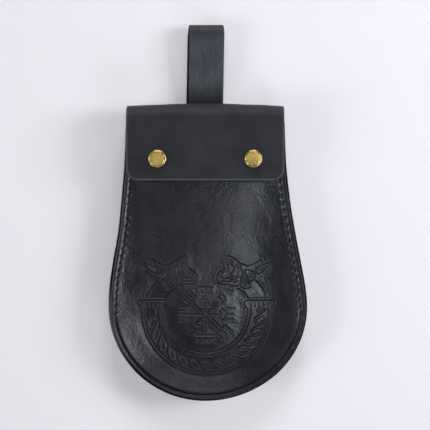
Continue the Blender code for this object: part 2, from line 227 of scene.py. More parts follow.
def coatedLeather(name, look):
    # Split leather with a thin pigmented coat, embossed with a fine pebble: even black,
    # a soft broad shine, blotches where the coat lies thicker, greyer cut edges.
    # Pressed lines are darker and duller, partly as painted shade, and painted shade and shadow take the same
    # dark colour.
    material, tree = newMaterial(name)
    place = addNode(tree, "ShaderNodeTexCoord", "Object")
    blotch = addNode(tree, "ShaderNodeTexNoise", "Fac", {
        "Vector": place, "Scale": 1 / look["blotchSize"], "Detail": 3.0, "Roughness": 0.55,
    })
    pebble = addNode(tree, "ShaderNodeTexVoronoi", "Distance", {
        "Vector": place, "Scale": 1 / look["pebbleSize"], "Smoothness": 0.6,
    }, feature="SMOOTH_F1")
    pore = addNode(tree, "ShaderNodeTexNoise", "Fac", {
        "Vector": place, "Scale": 1 / look["poreSize"], "Detail": 4.0, "Roughness": 0.6,
    })
    along = addNode(tree, "ShaderNodeMapping", "Vector", {
        "Vector": place, "Rotation": (0, 0, math.radians(look["creaseTurn"])),
        "Scale": (1.0, look["creaseStretch"], 1.0),
    })
    crease = addNode(tree, "ShaderNodeTexNoise", "Fac", {
        "Vector": along, "Scale": 1 / look["creaseSize"], "Detail": 4.0, "Roughness": 0.58,
        "Distortion": 0.4,
    })
    edge = addNode(tree, "ShaderNodeAttribute", "Fac", attribute_name="edge")
    darkened = addNode(tree, "ShaderNodeAttribute", "Fac", attribute_name="darkened")
    shade = addNode(tree, "ShaderNodeMapRange", "Result", {
        "Value": blotch, "From Min": 0.35, "From Max": 0.68,
    }, interpolation_type="SMOOTHSTEP")
    colour = linearColour(look["dark"])
    # pressed lines take a darker colour, and so does painted shade and shadow
    for share, over in ((shade, "light"), (darkened, "grooveAndShade"), (edge, "cut")):
        colour = addNode(tree, "ShaderNodeMix", 2, {
            0: share, 6: colour, 7: linearColour(look[over]),
        }, data_type="RGBA")
    evenRough = look["roughness"] - look["mottle"] / 2
    rough = addNode(tree, "ShaderNodeMapRange", "Result", {
        "Value": pore, "From Min": 0.3, "From Max": 0.7,
        "To Min": evenRough - 0.05, "To Max": evenRough + 0.06,
    })
    # creases break up the shine, what is pressed in was never polished, and the painted shade is dulled as
    # well
    for share, amount in ((crease, "mottle"), (darkened, "dullness")):
        rough = addNode(tree, "ShaderNodeMath", "Value", {
            0: share, 1: look[amount], 2: rough,
        }, operation="MULTIPLY_ADD")
    bump = None
    for height, kind, flatter in ((crease, "crease", 6), (pebble, "pebble", 5), (pore, "pore", 4)):
        relief = {
            "Height": height, "Strength": look[kind + "Strength"], "Distance": look[kind + "Size"] / flatter,
        }
        if bump is not None:
            relief["Normal"] = bump
        bump = addNode(tree, "ShaderNodeBump", "Normal", relief)
    shader = addNode(tree, "ShaderNodeBsdfPrincipled", "BSDF", {
        "Base Color": colour, "Roughness": rough, "Normal": bump,
        "IOR": 1.5, "Specular IOR Level": look["specular"],
        "Sheen Weight": look["sheen"], "Sheen Roughness": 0.5,
    })
    addNode(tree, "ShaderNodeOutputMaterial", None, {"Surface": shader})
    return material


def spunBrass(name, look):
    # Stamped brass snap, polished then lacquered: warm yellow, fine scratches, brown in the hollows.
    material, tree = newMaterial(name)
    place = addNode(tree, "ShaderNodeTexCoord", "Object")
    scratch = addNode(tree, "ShaderNodeTexNoise", "Fac", {
        "Vector": place, "Scale": 1 / look["scratchSize"], "Detail": 5.0, "Roughness": 0.7,
    })
    tarnish = addNode(tree, "ShaderNodeTexNoise", "Fac", {
        "Vector": place, "Scale": 1 / look["tarnishSize"], "Detail": 2.0,
    })
    hollow = addNode(tree, "ShaderNodeAttribute", "Fac", attribute_name="darkened")
    colour = linearColour(look["bright"])
    for share, over in ((tarnish, "warm"), (hollow, "brown")):
        colour = addNode(tree, "ShaderNodeMix", 2, {
            0: share, 6: colour, 7: linearColour(look[over]),
        }, data_type="RGBA")
    rough = addNode(tree, "ShaderNodeMapRange", "Result", {
        "Value": scratch, "From Min": 0.3, "From Max": 0.7,
        "To Min": look["roughness"] - 0.06, "To Max": look["roughness"] + 0.08,
    })
    bump = addNode(tree, "ShaderNodeBump", "Normal", {
        "Height": scratch, "Strength": 0.12, "Distance": look["scratchSize"] / 6,
    })
    shader = addNode(tree, "ShaderNodeBsdfPrincipled", "BSDF", {
        "Base Color": colour, "Roughness": rough, "Normal": bump, "Metallic": 1.0,
    })
    addNode(tree, "ShaderNodeOutputMaterial", None, {"Surface": shader})
    return material


def waxedThread(name, look):
    # Twisted polyester sewing thread, waxed black: the plies show as slanted ridges.
    material, tree = newMaterial(name)
    place = addNode(tree, "ShaderNodeTexCoord", "Object")
    plies = addNode(tree, "ShaderNodeTexWave", "Fac", {
        "Vector": place, "Scale": 1 / look["plySize"] / 20, "Distortion": 0.6,
    }, wave_type="BANDS", bands_direction="DIAGONAL")
    colour = addNode(tree, "ShaderNodeMix", 2, {
        0: plies, 6: linearColour(look["dark"]), 7: linearColour(look["light"]),
    }, data_type="RGBA")
    bump = addNode(tree, "ShaderNodeBump", "Normal", {
        "Height": plies, "Strength": 0.5, "Distance": look["plySize"] / 3,
    })
    shader = addNode(tree, "ShaderNodeBsdfPrincipled", "BSDF", {
        "Base Color": colour, "Roughness": 0.65, "Normal": bump, "Specular IOR Level": 0.25,
    })
    addNode(tree, "ShaderNodeOutputMaterial", None, {"Surface": shader})
    return material


# The real pebble is assumed to be about 0.6 mm. It is drawn two to three times as large, to show at all.
sharedLeather = {
    "dullness": 0.1, "sheen": 0.0, "pebbleSize": 1.3 * mm,
    "poreSize": 0.5 * mm, "poreStrength": 0.12,
    "creaseSize": 9 * mm, "creaseStretch": 0.5,
}
# the groove colour darkens pressed lines and is also painted shade and shadow; on the strap it is only
# painted shade
leatherLooks = {
    "coatedLeatherFlap": {
        "dark": "#121315", "light": "#1b1d1f", "grooveAndShade": "#101112", "cut": "#484b4e",
        "roughness": 0.58, "mottle": 0.20, "specular": 0.45, "sheen": 0.03,
        "blotchSize": 22 * mm, "pebbleStrength": 0.16, "creaseStrength": 0.35, "creaseTurn": -35,
    },
    "coatedLeatherMoulded": {
        "dark": "#111214", "light": "#181a1d", "grooveAndShade": "#070808", "cut": "#1c1d1f",
        "roughness": 0.30, "mottle": 0.26, "specular": 0.58, "dullness": 0.22,
        "blotchSize": 26 * mm, "pebbleSize": 1.6 * mm, "pebbleStrength": 0.27,
        "creaseStrength": 0.25, "creaseTurn": 8,
    },
    "coatedLeatherGusset": {
        "dark": "#0b0b0b", "light": "#111111", "grooveAndShade": "#070707", "cut": "#5a554f",
        "roughness": 0.90, "mottle": 0.10, "specular": 0.12,
        "blotchSize": 18 * mm, "pebbleStrength": 0.25, "poreStrength": 0.15,
        "creaseSize": 8 * mm, "creaseStrength": 0.30, "creaseTurn": 0, "creaseStretch": 0.6,
    },
    "coatedLeatherStrap": {
        "dark": "#25272b", "light": "#33363b", "grooveAndShade": "#060607", "cut": "#323538",
        "roughness": 0.40, "mottle": 0.45, "specular": 0.60, "dullness": 0.45, "sheen": 0.03,
        "blotchSize": 14 * mm, "pebbleSize": 1.5 * mm, "pebbleStrength": 0.26,
        "creaseSize": 6 * mm, "creaseStrength": 0.36, "creaseTurn": -10, "creaseStretch": 0.45,
    },
}
brassLook = {
    "bright": "#e6cd7c", "warm": "#dcc070", "brown": "#a5803c",
    "roughness": 0.20, "scratchSize": 0.35 * mm, "tarnishSize": 3.0 * mm,
}
threadLook = {"dark": "#070708", "light": "#121314", "plySize": 0.35 * mm}

leather = {name: coatedLeather(name, {**sharedLeather, **look}) for name, look in leatherLooks.items()}
brass = spunBrass("lacqueredBrass", brassLook)
thread = waxedThread("waxedPolyesterThread", threadLook)
print("materials made")


# Meshes

def addAttribute(mesh, name, values):
    attribute = mesh.attributes.new(name, "FLOAT", "POINT")
    attribute.data.foreach_set("value", np.asarray(values, dtype=np.float32))


def newObject(name, data):
    item = bpy.data.objects.new(name, data)
    bpy.context.scene.collection.objects.link(item)
    return item


def newPiece(name, mesh, material):
    mesh.materials.clear()
    mesh.materials.append(material)
    return newObject(name, mesh)


@contextmanager
def editing(mesh):
    # the mesh as a bmesh, written back afterwards
    shape = bmesh.new()
    shape.from_mesh(mesh)
    yield shape
    shape.to_mesh(mesh)
    shape.free()


def gridMesh(name, rows, attributes):
    # a sheet through rows of points, facing the left of each row's way
    rowCount, columnCount = rows.shape[:2]
    corner = (np.arange(rowCount - 1)[:, None] * columnCount + np.arange(columnCount - 1)).ravel()
    faces = np.stack([corner, corner + 1, corner + 1 + columnCount, corner + columnCount], 1)
    mesh = bpy.data.meshes.new(name)
    mesh.from_pydata(rows.reshape(-1, 3).tolist(), [], faces.tolist())
    for key, values in attributes.items():
        addAttribute(mesh, key, values.ravel())
    with editing(mesh) as shape:
        bmesh.ops.remove_doubles(shape, verts=shape.verts, dist=0.01 * mm)
    mesh.shade_smooth()
    return mesh


def acrossOffsets(half, margins, count):
    # from the right edge to the left, close together beside the edges
    inner = np.linspace(half - margins[-1], -(half - margins[-1]), count)[1:-1]
    return np.concatenate([half - margins, inner, -(half - margins[::-1])])


def applyModifiers(piece):
    # turns the piece into the mesh that its modifiers make
    bpy.context.view_layer.update()
    graph = bpy.context.evaluated_depsgraph_get()
    finished = piece.evaluated_get(graph)
    mesh = bpy.data.meshes.new_from_object(finished, preserve_all_data_layers=True, depsgraph=graph)
    piece.modifiers.clear()
    piece.data = mesh
    return piece


def thicken(piece, thickness, offset, edgeRadius):
    solid = piece.modifiers.new("thickness", "SOLIDIFY")
    solid.thickness, solid.offset = thickness, offset
    solid.use_even_offset = solid.use_quality_normals = True
    worn = piece.modifiers.new("wornEdge", "BEVEL")
    worn.width, worn.segments = edgeRadius, 3
    worn.limit_method, worn.angle_limit = "ANGLE", math.radians(55)


# Flap, fold and back panel in one sheet

flap = {
    "halfWidth": 54.3 * mm,
    "length": 53.8 * mm,         # fold to the lower edge
    "corner": 8.8 * mm,
    "foldRise": 7.0 * mm,        # front seam to the top of the fold
    "foldBow": 1.8 * mm,
    "gap": 4.5 * mm,             # over the front panel, as thick as the snaps
    "droop": 1.2 * mm,           # of the lower edge past the snaps
    "backStep": 0.5 * mm,
    "backRamp": 70.0 * mm,       # over which the back climbs on to the strap
    "strapLift": 5.0 * mm,
    "tailInset": 47.2 * mm,      # fold to the foot of the strap's ends
    "edgeRadius": 0.55 * mm,
    "wave": 0.22 * mm,
    "waveSize": 42.0 * mm,
    "ruffle": 0.12 * mm,         # waviness along the fold
    "ruffleSize": 18.0 * mm,
    "margins": np.array([0.0, 0.62, 1.25, 2.1, 3.4]) * mm,   # first points in from the edge
    "narrow": 20.0 * mm,         # half width under which those close up
    "wornReach": 1.5 * mm,       # how far in the cut edge's colour fades
    "rowStep": 1.4 * mm,
    "backRowStep": 2.2 * mm,
}
foldTop = body["seamHeight"] + flap["foldRise"]
foldRadius = (foldTop - flap["strapLift"]) / 2
foldStartY = foldY - foldRadius
flapEdgeY = foldY - flap["length"]
foldX = float(driftAt(foldY))

snap = {
    "spacing": 65.6 * mm,
    "offset": 0.4 * mm,
    "fromEdge": 14.6 * mm,       # centre to the flap's lower edge
    "capDiameter": 12.5 * mm,
    "capHeight": 2.4 * mm,
    "rim": 0.8 * mm,
    "crownInset": 1.25 * mm,     # edge to where the flat crown ends
    "crownDrop": 0.08 * mm,
    "post": 4.0 * mm,
    "postHole": 4.6 * mm,
    "plate": 0.9 * mm,
    "clearance": 0.3 * mm,
    "turnSteps": 72,
    "settle": 0.10,              # share of the panel's slope that the caps take on
    "lean": {"left": 0.0, "right": -0.045},   # sideways for each metre up
    "bead": 1.0 * mm,
}
snapY = flapEdgeY + snap["fromEdge"]
snapPlaces = {side: foldX + snap["offset"] + sign * snap["spacing"] / 2
              for side, sign in (("left", -1), ("right", 1))}


def backHeight(y):
    rampEnd = foldY - flap["tailInset"]
    return flap["strapLift"] * smoothStep((y - rampEnd + flap["backRamp"]) / flap["backRamp"])


def flapHeight(x, y):
    overSnaps = frontHeight(x, y) + flap["gap"] + body["panel"]
    settledY = snapY + snap["capDiameter"] / 2
    share = smoothStep((foldStartY - y) / (foldStartY - settledY))
    past = smoothStep((snapY - y) / (snapY - flapEdgeY))
    wave = flap["wave"] * unevenness(x, y, flap["waveSize"], 4) * share
    return foldTop + (overSnaps - foldTop) * share - flap["droop"] * past + wave


def buildFlapAndBack():
    rows, edges = [], []

    def offsetsAt(half):
        return acrossOffsets(half, flap["margins"] * min(1.0, half / flap["narrow"]), 57)

    def addRow(middle, half, y, height, border=9 * mm):
        across = offsetsAt(half)
        x = middle + across
        z = height(x, y) if callable(height) else height
        rows.append(np.stack([x, np.broadcast_to(y, x.shape), np.broadcast_to(z, x.shape)], 1))
        inside = np.minimum(half - np.abs(across), border)
        edges.append(1 - smoothStep(inside / flap["wornReach"]))

    for angle in np.linspace(math.pi / 2, 0, 60)[:-1]:
        y = widestY - (body["bottomLength"] - flap["backStep"]) * math.sin(angle)
        half = (body["halfWidth"] - flap["backStep"]) * math.cos(angle)
        addRow(driftAt(y), half, y, backHeight(y))
    for y in np.arange(widestY, foldStartY, flap["backRowStep"]):
        towardsFlap = fadeIn(y, flapEdgeY, foldStartY - flapEdgeY)
        half = halfWidthAt(y) - flap["backStep"]
        half += (flap["halfWidth"] - half) * towardsFlap
        addRow(driftAt(y), half, y, backHeight(y))
    across = offsetsAt(flap["halfWidth"])
    bow = flap["foldBow"] * (across / flap["halfWidth"]) ** 2
    ruffle = flap["ruffle"] * unevenness(across, np.full_like(across, 10 * mm), flap["ruffleSize"], 9)
    for angle in np.linspace(0, math.pi, 33)[1:]:
        y = foldStartY + (foldRadius - bow) * math.sin(angle)
        height = foldTop - foldRadius * (1 + math.cos(angle))
        addRow(foldX, flap["halfWidth"], y + ruffle * math.sin(angle), height)
    cornerY = flapEdgeY + flap["corner"]
    for y in np.arange(foldStartY, cornerY, -flap["rowStep"])[1:]:
        addRow(foldX, flap["halfWidth"], y, flapHeight)
    for angle in np.linspace(0, math.pi / 2, 13):
        half = flap["halfWidth"] - flap["corner"] * (1 - math.cos(angle))
        y = cornerY - flap["corner"] * math.sin(angle)
        addRow(foldX, half, y, flapHeight, y - flapEdgeY)
    mesh = gridMesh("flapAndBack", np.array(rows), {"edge": np.array(edges)})
    piece = newPiece("flapAndBack", mesh, leather["coatedLeatherFlap"])
    thicken(piece, body["panel"], -1.0, flap["edgeRadius"])
    cutters = [buildHoleCutter(side) for side in snapPlaces]
    for cutter in cutters:
        cut = piece.modifiers.new(cutter.name, "BOOLEAN")
        cut.operation, cut.solver, cut.object = "DIFFERENCE", "EXACT", cutter
    applyModifiers(piece)
    for cutter in cutters:
        bpy.data.objects.remove(cutter, do_unlink=True)
    return piece


def snapMatrix(side, height):
    # stands on the front panel at that snap, upright but for a share of its slope and the snap's lean
    x, reach = snapPlaces[side], snap["post"] / 2
    across = float(frontHeight(x + reach, snapY) - frontHeight(x - reach, snapY))
    along = float(frontHeight(x, snapY + reach) - frontHeight(x, snapY - reach))
    lean = snap["lean"][side] * 2 * reach
    axis = Vector((lean - across * snap["settle"], -along * snap["settle"], 2 * reach)).normalized()
    foot = Vector((x, snapY, float(frontHeight(x, snapY)))) + axis * height
    return Matrix.LocRotScale(foot, axis.to_track_quat("Z", "Y"), None)


def buildHoleCutter(side):
    mesh = bpy.data.meshes.new("hole_" + side)
    with editing(mesh) as shape:
        bmesh.ops.create_cone(
            shape, cap_ends=True, segments=32, depth=4 * body["panel"],
            radius1=snap["postHole"] / 2, radius2=snap["postHole"] / 2,
        )
    mesh.transform(snapMatrix(side, flap["gap"] + body["panel"] / 2))
    cutter = newObject("hole_" + side, mesh)
    cutter.hide_render = True
    return cutter


flapAndBack = buildFlapAndBack()
print("flap and back made,", len(flapAndBack.data.polygons), "faces")


# Seam along the sides and the bottom

seam = {
    "frontStep": 1.3 * mm,       # outer edge to the front panel's cut edge
    "slack": 0.9 * mm,           # how much further in that edge lies at the lower left
    "slackMiddle": 0.36,         # where, as a share of the outline, and how far either side
    "slackReach": 0.17,
    "edgeRadius": 0.45 * mm,
    "drawnOut": 1.2 * mm,        # how much nearer to the edge it runs round the bottom
    # height across the margin, in mm in from the stitches: at the sides over a shoulder,
    # and round the bottom through a deep groove
    "stitched": [(-4.6, -1.40), (-1.9, -0.60), (-0.50, 0.25), (0.0, 0.20), (1.2, 0.0)],
    "grooved": [(-3.6, -0.60), (-1.2, -0.14), (-0.6, 0.22), (-0.4, 0.18), (-0.15, -0.70), (0.0, -0.90),
                (0.25, -0.62), (0.6, -0.34), (1.2, -0.12), (2.2, 0.0)],
    "groovedStretch": ((0.27, 0.04), (0.70, 0.05)),
    # width of the painted shade in the groove
    "grooveShade": 0.50 * mm,
    "grooveReach": 1.3 * mm,     # how far from its line the mesh stays fine
    "pucker": 0.14 * mm,
    "puckerMiddle": -0.4 * mm,   # in from the stitches, and how far it fades
    "puckerFade": 1.5 * mm,
    "puckerLeast": 0.12,         # share of it off the stretch where the thread pulls hard
    "puckeredStretch": ((0.50, 0.12), (0.86, 0.08)),
    "pitch": 5.2 * mm,           # from stitch to stitch
    "firstStitch": 4.0 * mm,     # mouth to the first stitch
    "slitLength": 1.7 * mm,
    "slitSlant": -25,            # degrees from the seam
    "slitHalfWidth": 0.75 * mm,
    "slitDepth": 1.10 * mm,
    "slitFade": 0.95,            # share of that depth lost in the groove
}


def frontEdgeInset(along):
    # the front panel's cut edge falls short of the gusset's at the lower left
    middle, reach = seam["slackMiddle"] * outlineLength, seam["slackReach"] * outlineLength
    fall = np.clip(1 - ((along - middle) / reach) ** 2, 0.0, 1.0)
    return seam["frontStep"] + seam["slack"] * fall


def belowShare(along):
    # from 0 at the sides, where stitches show, to 1 round the bottom, where a groove does
    return stretchShare(along, seam["groovedStretch"])


def seamInsetAt(along):
    return body["seamInset"] - seam["drawnOut"] * belowShare(along)


def seamLine(step):
    # points along the seam from the first stitch to the last
    start, end = seam["firstStitch"], outlineLength - seam["firstStitch"]
    along = np.linspace(start, end, int(round((end - start) / step)) + 1)
    points = outline["points"] + outline["inward"] * seamInsetAt(outline["along"])[:, None]
    return pointsAlong(points, outline["along"], along), along


def seamProfile(fromStitch, along):
    # height of the margin across the seam, with a pucker at every stitch
    wave = np.cos(2 * math.pi * (along - seam["firstStitch"]) / seam["pitch"])
    stitched, grooved = (
        np.interp(fromStitch, *(np.array(seam[name]).T * mm)) for name in ("stitched", "grooved")
    )
    margin = stitched + (grooved - stitched) * belowShare(along)
    fade = np.exp(-((fromStitch - seam["puckerMiddle"]) / seam["puckerFade"]) ** 2)
    pulled = stretchShare(along, seam["puckeredStretch"])
    return margin - seam["pucker"] * wave * fade * (
        seam["puckerLeast"] + (1 - seam["puckerLeast"]) * pulled
    )


# Pressed ornament: ring of twisted rope, two beast heads and an eight-armed star, in millimetres

ornament = {
    "halfGroove": 0.54, "depth": 0.70, "lip": 0.22, "lipReach": 0.85, "sample": 0.12,
    "outer": (-0.8, -68.5, 44.45),     # middle and radius of the ring's outer line
    "inner": (-1.3, -68.4, 28.35),
    "outerPair": 2.1, "innerPair": 2.3,
    "ringTop": -67.0,
    "ropeMiddle": (-1.4, -68.3),
    "unroll": 0.64,                    # mm along the band for each degree
    # where each twist of the rope crosses the middle of the band, in degrees
    "twists": [186.8, 199.9, 213.0, 226.4, 239.5, 252.2, 264.6, 277.8,
               292.2, 306.6, 319.2, 331.2, 343.6, 356.4],
    "headPlaces": [(-36.8, -1), (35.6, 1)], "headFoot": -61.0,
    "collarPlaces": [-37.1, 35.2], "collarTop": -61.3,
    "collarHalf": 9.2, "collarHeight": 5.5, "ticks": [-5.9, -3.0, 0.0, 2.9, 5.8],
    "collarEnd": [(0.0, 0.0), (1.2, -1.2), (1.1, -2.8), (0.2, -4.2), (-0.9, -5.5)],
    "star": (-1.7, -70.7),
    "unevenSize": 24.0, "uneven": 0.30,   # how the depth of the pressing varies
}

# One twist of the ring's rope: degrees from where it crosses the middle of the band, and radius in mm
twistBend = [
    (-10.5, 34.2), (-8.0, 34.0), (-5.2, 34.2), (-2.7, 35.2),
    (0.0, 37.3), (1.9, 39.2), (4.2, 40.5), (7.6, 41.3),
]
twistLeaf = [
    (1.0, 35.0), (1.5, 36.3), (2.8, 37.8), (5.0, 39.4), (7.6, 40.2), (10.6, 40.3),
    (10.2, 39.0), (9.0, 37.5), (7.2, 36.2), (5.0, 35.3), (3.0, 34.9), (1.0, 35.0),
]

# One head in profile, outwards and up from the middle of its collar's top; weight of the line first
headLines = [
    (1.2, [(-22.4, 29.8), (-19.9, 29.6), (-17.4, 28.6), (-15.1, 26.7), (-13.3, 25.3), (-10.8, 24.2),
           (-7.9, 23.2)]),
    (1.1, [(-7.9, 23.2), (-5.0, 24.0), (-2.6, 25.1), (-0.9, 26.1), (0.5, 28.0)]),
    (1.0, [(0.5, 28.0), (1.6, 26.9), (1.8, 25.5), (1.4, 24.2)]),
    (1.1, [(-3.0, 20.7), (-0.9, 22.4), (1.6, 23.3), (4.1, 24.5), (6.6, 25.5)]),
    (1.0, [(6.6, 25.5), (5.5, 23.2), (3.8, 21.4), (2.2, 19.7), (0.7, 18.3), (-1.1, 18.1), (-2.8, 19.3),
           (-3.0, 20.7)]),
    (0.6, [(-1.2, 20.2), (1.2, 21.4), (3.6, 23.0)]),
    (0.8, [(7.8, 22.3), (7.4, 20.5), (6.5, 18.9), (5.7, 17.2), (4.9, 16.0)]),
    (1.1, [(-10.9, 20.0), (-8.7, 20.7), (-6.3, 20.1), (-4.1, 18.8), (-3.1, 16.6), (-3.7, 14.3),
           (-5.4, 13.1)]),
    (1.0, [(-5.4, 13.1), (-7.2, 14.0), (-8.7, 16.3), (-10.2, 18.4), (-10.9, 20.0)]),
    (0.6, [(-7.2, 18.2), (-5.6, 17.6), (-5.2, 15.8), (-6.6, 15.8), (-7.2, 18.2)]),
    (0.9, [(-12.5, 19.9), (-11.2, 17.2), (-9.6, 14.5), (-7.3, 12.5)]),
    (1.0, [(-12.9, 12.7), (-13.8, 11.0), (-12.4, 9.0), (-10.4, 7.9), (-7.9, 8.0), (-6.6, 9.4),
           (-6.6, 11.4), (-7.8, 13.0)]),
    (0.7, [(-11.2, 13.9), (-8.5, 10.6)]),
    (0.7, [(-12.3, 12.5), (-9.4, 9.2)]),
    (0.7, [(-9.8, 14.2), (-7.7, 11.4)]),
    (1.1, [(-14.5, 25.1), (-13.0, 22.2), (-12.3, 19.3), (-12.5, 16.0), (-13.4, 12.7)]),
    (0.9, [(-16.4, 24.7), (-15.1, 22.2), (-14.9, 19.3), (-15.1, 16.8), (-16.2, 15.2)]),
    (0.8, [(-21.0, 26.6), (-20.2, 27.6), (-18.9, 27.1), (-18.9, 25.7), (-19.9, 25.1), (-20.9, 25.5)]),
    (0.8, [(-21.1, 24.2), (-19.5, 24.3), (-18.2, 23.4), (-17.7, 21.4), (-18.6, 19.3), (-20.1, 18.1),
           (-20.9, 16.8)]),
    (1.1, [(-22.4, 29.8), (-22.8, 27.1), (-22.3, 24.2), (-21.5, 22.2), (-21.6, 19.8)]),
    (1.1, [(-23.8, 21.6), (-25.3, 20.7), (-27.5, 19.5), (-29.0, 17.6), (-29.6, 15.2), (-28.9, 12.5)]),
    (1.1, [(-24.6, 20.1), (-25.9, 18.1), (-25.9, 15.6), (-24.6, 14.6), (-22.8, 14.7), (-20.7, 15.2),
           (-19.3, 16.4), (-17.2, 16.0)]),
    (0.9, [(-26.5, 13.1), (-23.6, 12.5), (-21.1, 12.7), (-19.9, 13.8), (-18.0, 14.3)]),
    (1.0, [(-28.9, 12.5), (-26.3, 11.0), (-23.6, 10.5), (-21.1, 10.4), (-19.1, 9.7), (-17.0, 9.4),
           (-15.4, 10.4)]),
    (0.7, [(-18.4, 13.6), (-17.2, 11.7)]),
    (0.7, [(-16.8, 14.3), (-15.6, 12.7)]),
    (0.8, [(-21.3, 8.9), (-20.8, 6.8), (-18.4, 5.8)]),
    (0.7, [(-19.3, 8.4), (-18.4, 7.0)]),
    (1.2, [(-15.4, 8.0), (-13.9, 7.2), (-12.0, 6.3), (-10.4, 4.8), (-9.0, 3.0), (-7.7, 0.8)]),
    (1.1, [(-3.0, 13.8), (-1.0, 11.6), (0.6, 9.6), (2.0, 7.6), (3.1, 5.4), (3.7, 3.2), (3.9, 1.6)]),
    (1.2, [(4.0, 14.8), (5.0, 12.2), (5.9, 9.6), (6.5, 7.2), (6.9, 4.6), (7.2, 1.6)]),
    (0.6, [(-7.6, 1.4), (7.4, 1.4)]),
]
maneInner = [(0.2, 12.6), (1.4, 10.6), (2.6, 8.6), (3.7, 6.6)]
maneOuter = [(1.6, 13.8), (2.9, 11.6), (4.1, 9.4), (5.1, 7.2)]

# Arms of the star, in millimetres: direction in degrees, reach, bars as distance out and half length,
# arcs as distance out and radius, prongs as distance sideways, near end and far end
starArms = [
    {"turn": 90, "reach": 13.0, "bars": [(3.2, 2.6), (7.8, 1.9), (9.8, 1.9), (14.4, 4.4), (18.4, 4.8)],
     "prongs": [(3.4, 14.4, 18.4), (-0.4, 14.4, 18.4), (-4.3, 14.4, 18.4)]},
    {"turn": 135, "reach": 12.6, "bars": [(12.6, 4.8)],
     "prongs": [(-4.1, 12.6, 19.4), (-1.9, 12.6, 19.4), (0.3, 12.6, 19.2), (2.5, 12.6, 19.0),
                (4.7, 12.6, 18.6)]},
    {"turn": 180, "reach": 13.7, "bars": [(13.7, 5.2)],
     "prongs": [(across, 13.7, 17.6) for across in (-4.7, -2.3, 0.0, 2.3, 4.7)]},
    {"turn": 225, "reach": 10.4, "bars": [(12.0, 2.6), (13.9, 3.4), (15.8, 3.9), (18.0, 3.0)],
     "arcs": [(9.8, 2.6)], "prongs": [(0.0, 12.0, 18.0)]},
    {"turn": 270, "reach": 14.2, "bars": [(14.2, 6.8), (16.7, 5.4)],
     "prongs": [(across, 17.2, 19.6) for across in (-5.9, -2.9, -0.2, 2.4, 5.2)]},
    {"turn": 315, "reach": 0.0, "bars": [(14.8, 4.6)],
     "prongs": [(-1.0, 3.2, 14.8), (1.3, 4.6, 14.8), (-3.5, 14.8, 20.0), (0.7, 14.8, 20.3),
                (4.8, 14.8, 20.2)]},
    {"turn": 0, "reach": 9.4, "bars": [(5.2, 2.0), (7.4, 2.0)], "arcs": [(11.0, 2.6), (14.2, 4.2)],
     "prongs": [(4.1, 14.4, 20.2), (0.4, 15.0, 19.6), (-3.3, 14.6, 19.6)]},
    {"turn": 45, "reach": 11.0, "bars": [(7.0, 2.2), (9.2, 2.6)],
     "arcs": [(11.8, 2.4), (14.8, 2.8), (18.0, 3.2)], "prongs": [(-2.4, 12.6, 16.6), (2.4, 12.6, 16.6)]},
]


def splineLine(points, step):
    # a smooth line through the points, sampled at that step
    points = np.asarray(points, dtype=float)
    padded = np.concatenate([[2 * points[0] - points[1]], points, [2 * points[-1] - points[-2]]])
    share = np.linspace(0, 1, 25)[:-1, None]
    bits = []
    for a, b, c, d in zip(padded, padded[1:], padded[2:], padded[3:]):
        bits.append(0.5 * (2 * b + (c - a) * share + (2 * a - 5 * b + 4 * c - d) * share**2
                           + (3 * b - a - 3 * c + d) * share**3))
    return evenLine(np.concatenate(bits + [points[-1:]]), step)


def evenLine(points, step):
    points = np.asarray(points, dtype=float)
    lengths = lengthsOf(points)
    along = np.linspace(0, lengths[-1], max(int(round(lengths[-1] / step)), 1) + 1)
    return pointsAlong(points, lengths, along)


def arcBelow(circle, top):
    # the part of a circle below that height, from left to right
    x, y, radius = circle
    rise = math.asin(min((top - y) / radius, 1.0))
    angle = np.linspace(math.pi - rise, 2 * math.pi + rise, 400)
    return np.stack([x + radius * np.cos(angle), y + radius * np.sin(angle)], 1)

def ringLines():
    x, y, radius = ornament["outer"]
    innerX, innerY, innerRadius = ornament["inner"]
    circles = [
        (x, y, radius), (x, y, radius - ornament["outerPair"]),
        (innerX, innerY, innerRadius + ornament["innerPair"]), (innerX, innerY, innerRadius),
    ]
    lines = [(1.1, arcBelow(circle, ornament["ringTop"])) for circle in circles]
    return lines + ropeLines()


def ropeLines():
    # every twist of the rope is one bent line across the band, with a leaf behind it
    x, y = ornament["ropeMiddle"]

    def unrolled(points, turn):
        angle, radius = np.radians(points[:, 0] / ornament["unroll"] + turn), points[:, 1]
        return np.stack([x + radius * np.cos(angle), y + radius * np.sin(angle)], 1)

    bend, leaf = (
        splineLine([(turn * ornament["unroll"], radius) for turn, radius in shape], ornament["sample"])
        for shape in (twistBend, twistLeaf)
    )
    lines = []
    for turn in ornament["twists"]:
        leafWeight = 0.25 + 0.32 * smoothStep((turn - 235) / 60)
        for weight, shape in ((1.1, bend), (leafWeight, leaf)):
            points = unrolled(shape, turn)
            points = points[points[:, 1] < ornament["ringTop"]]
            if len(points) > 3:
                lines.append((weight, points))
    return lines


def collarLines(middle):
    half, top = ornament["collarHalf"], ornament["collarTop"]
    foot = top - ornament["collarHeight"]
    lines = [(1.25, np.array([(middle - half, top), (middle + half, top)]))]
    for side in (-1, 1):
        end = [(middle + side * (half + out), top + up) for out, up in ornament["collarEnd"]]
        lines.append((1.0, splineLine(end, ornament["sample"])))
    for x in ornament["ticks"]:
        lines.append((0.9, np.array([(middle + x, foot + 1.0), (middle + x, top - 2.3)])))
    return lines


def headStrokes(x, outwards):
    place = np.array([x, ornament["headFoot"]])
    mirror = np.array([outwards, 1.0])
    lines = []
    for weight, points in headLines:
        lines.append((weight, splineLine(np.array(points) * mirror + place, ornament["sample"])))
    for a, b in zip(splineLine(maneInner, 1.4), splineLine(maneOuter, 1.4)):
        lines.append((0.5, np.array([a, b]) * mirror + place))
    return lines


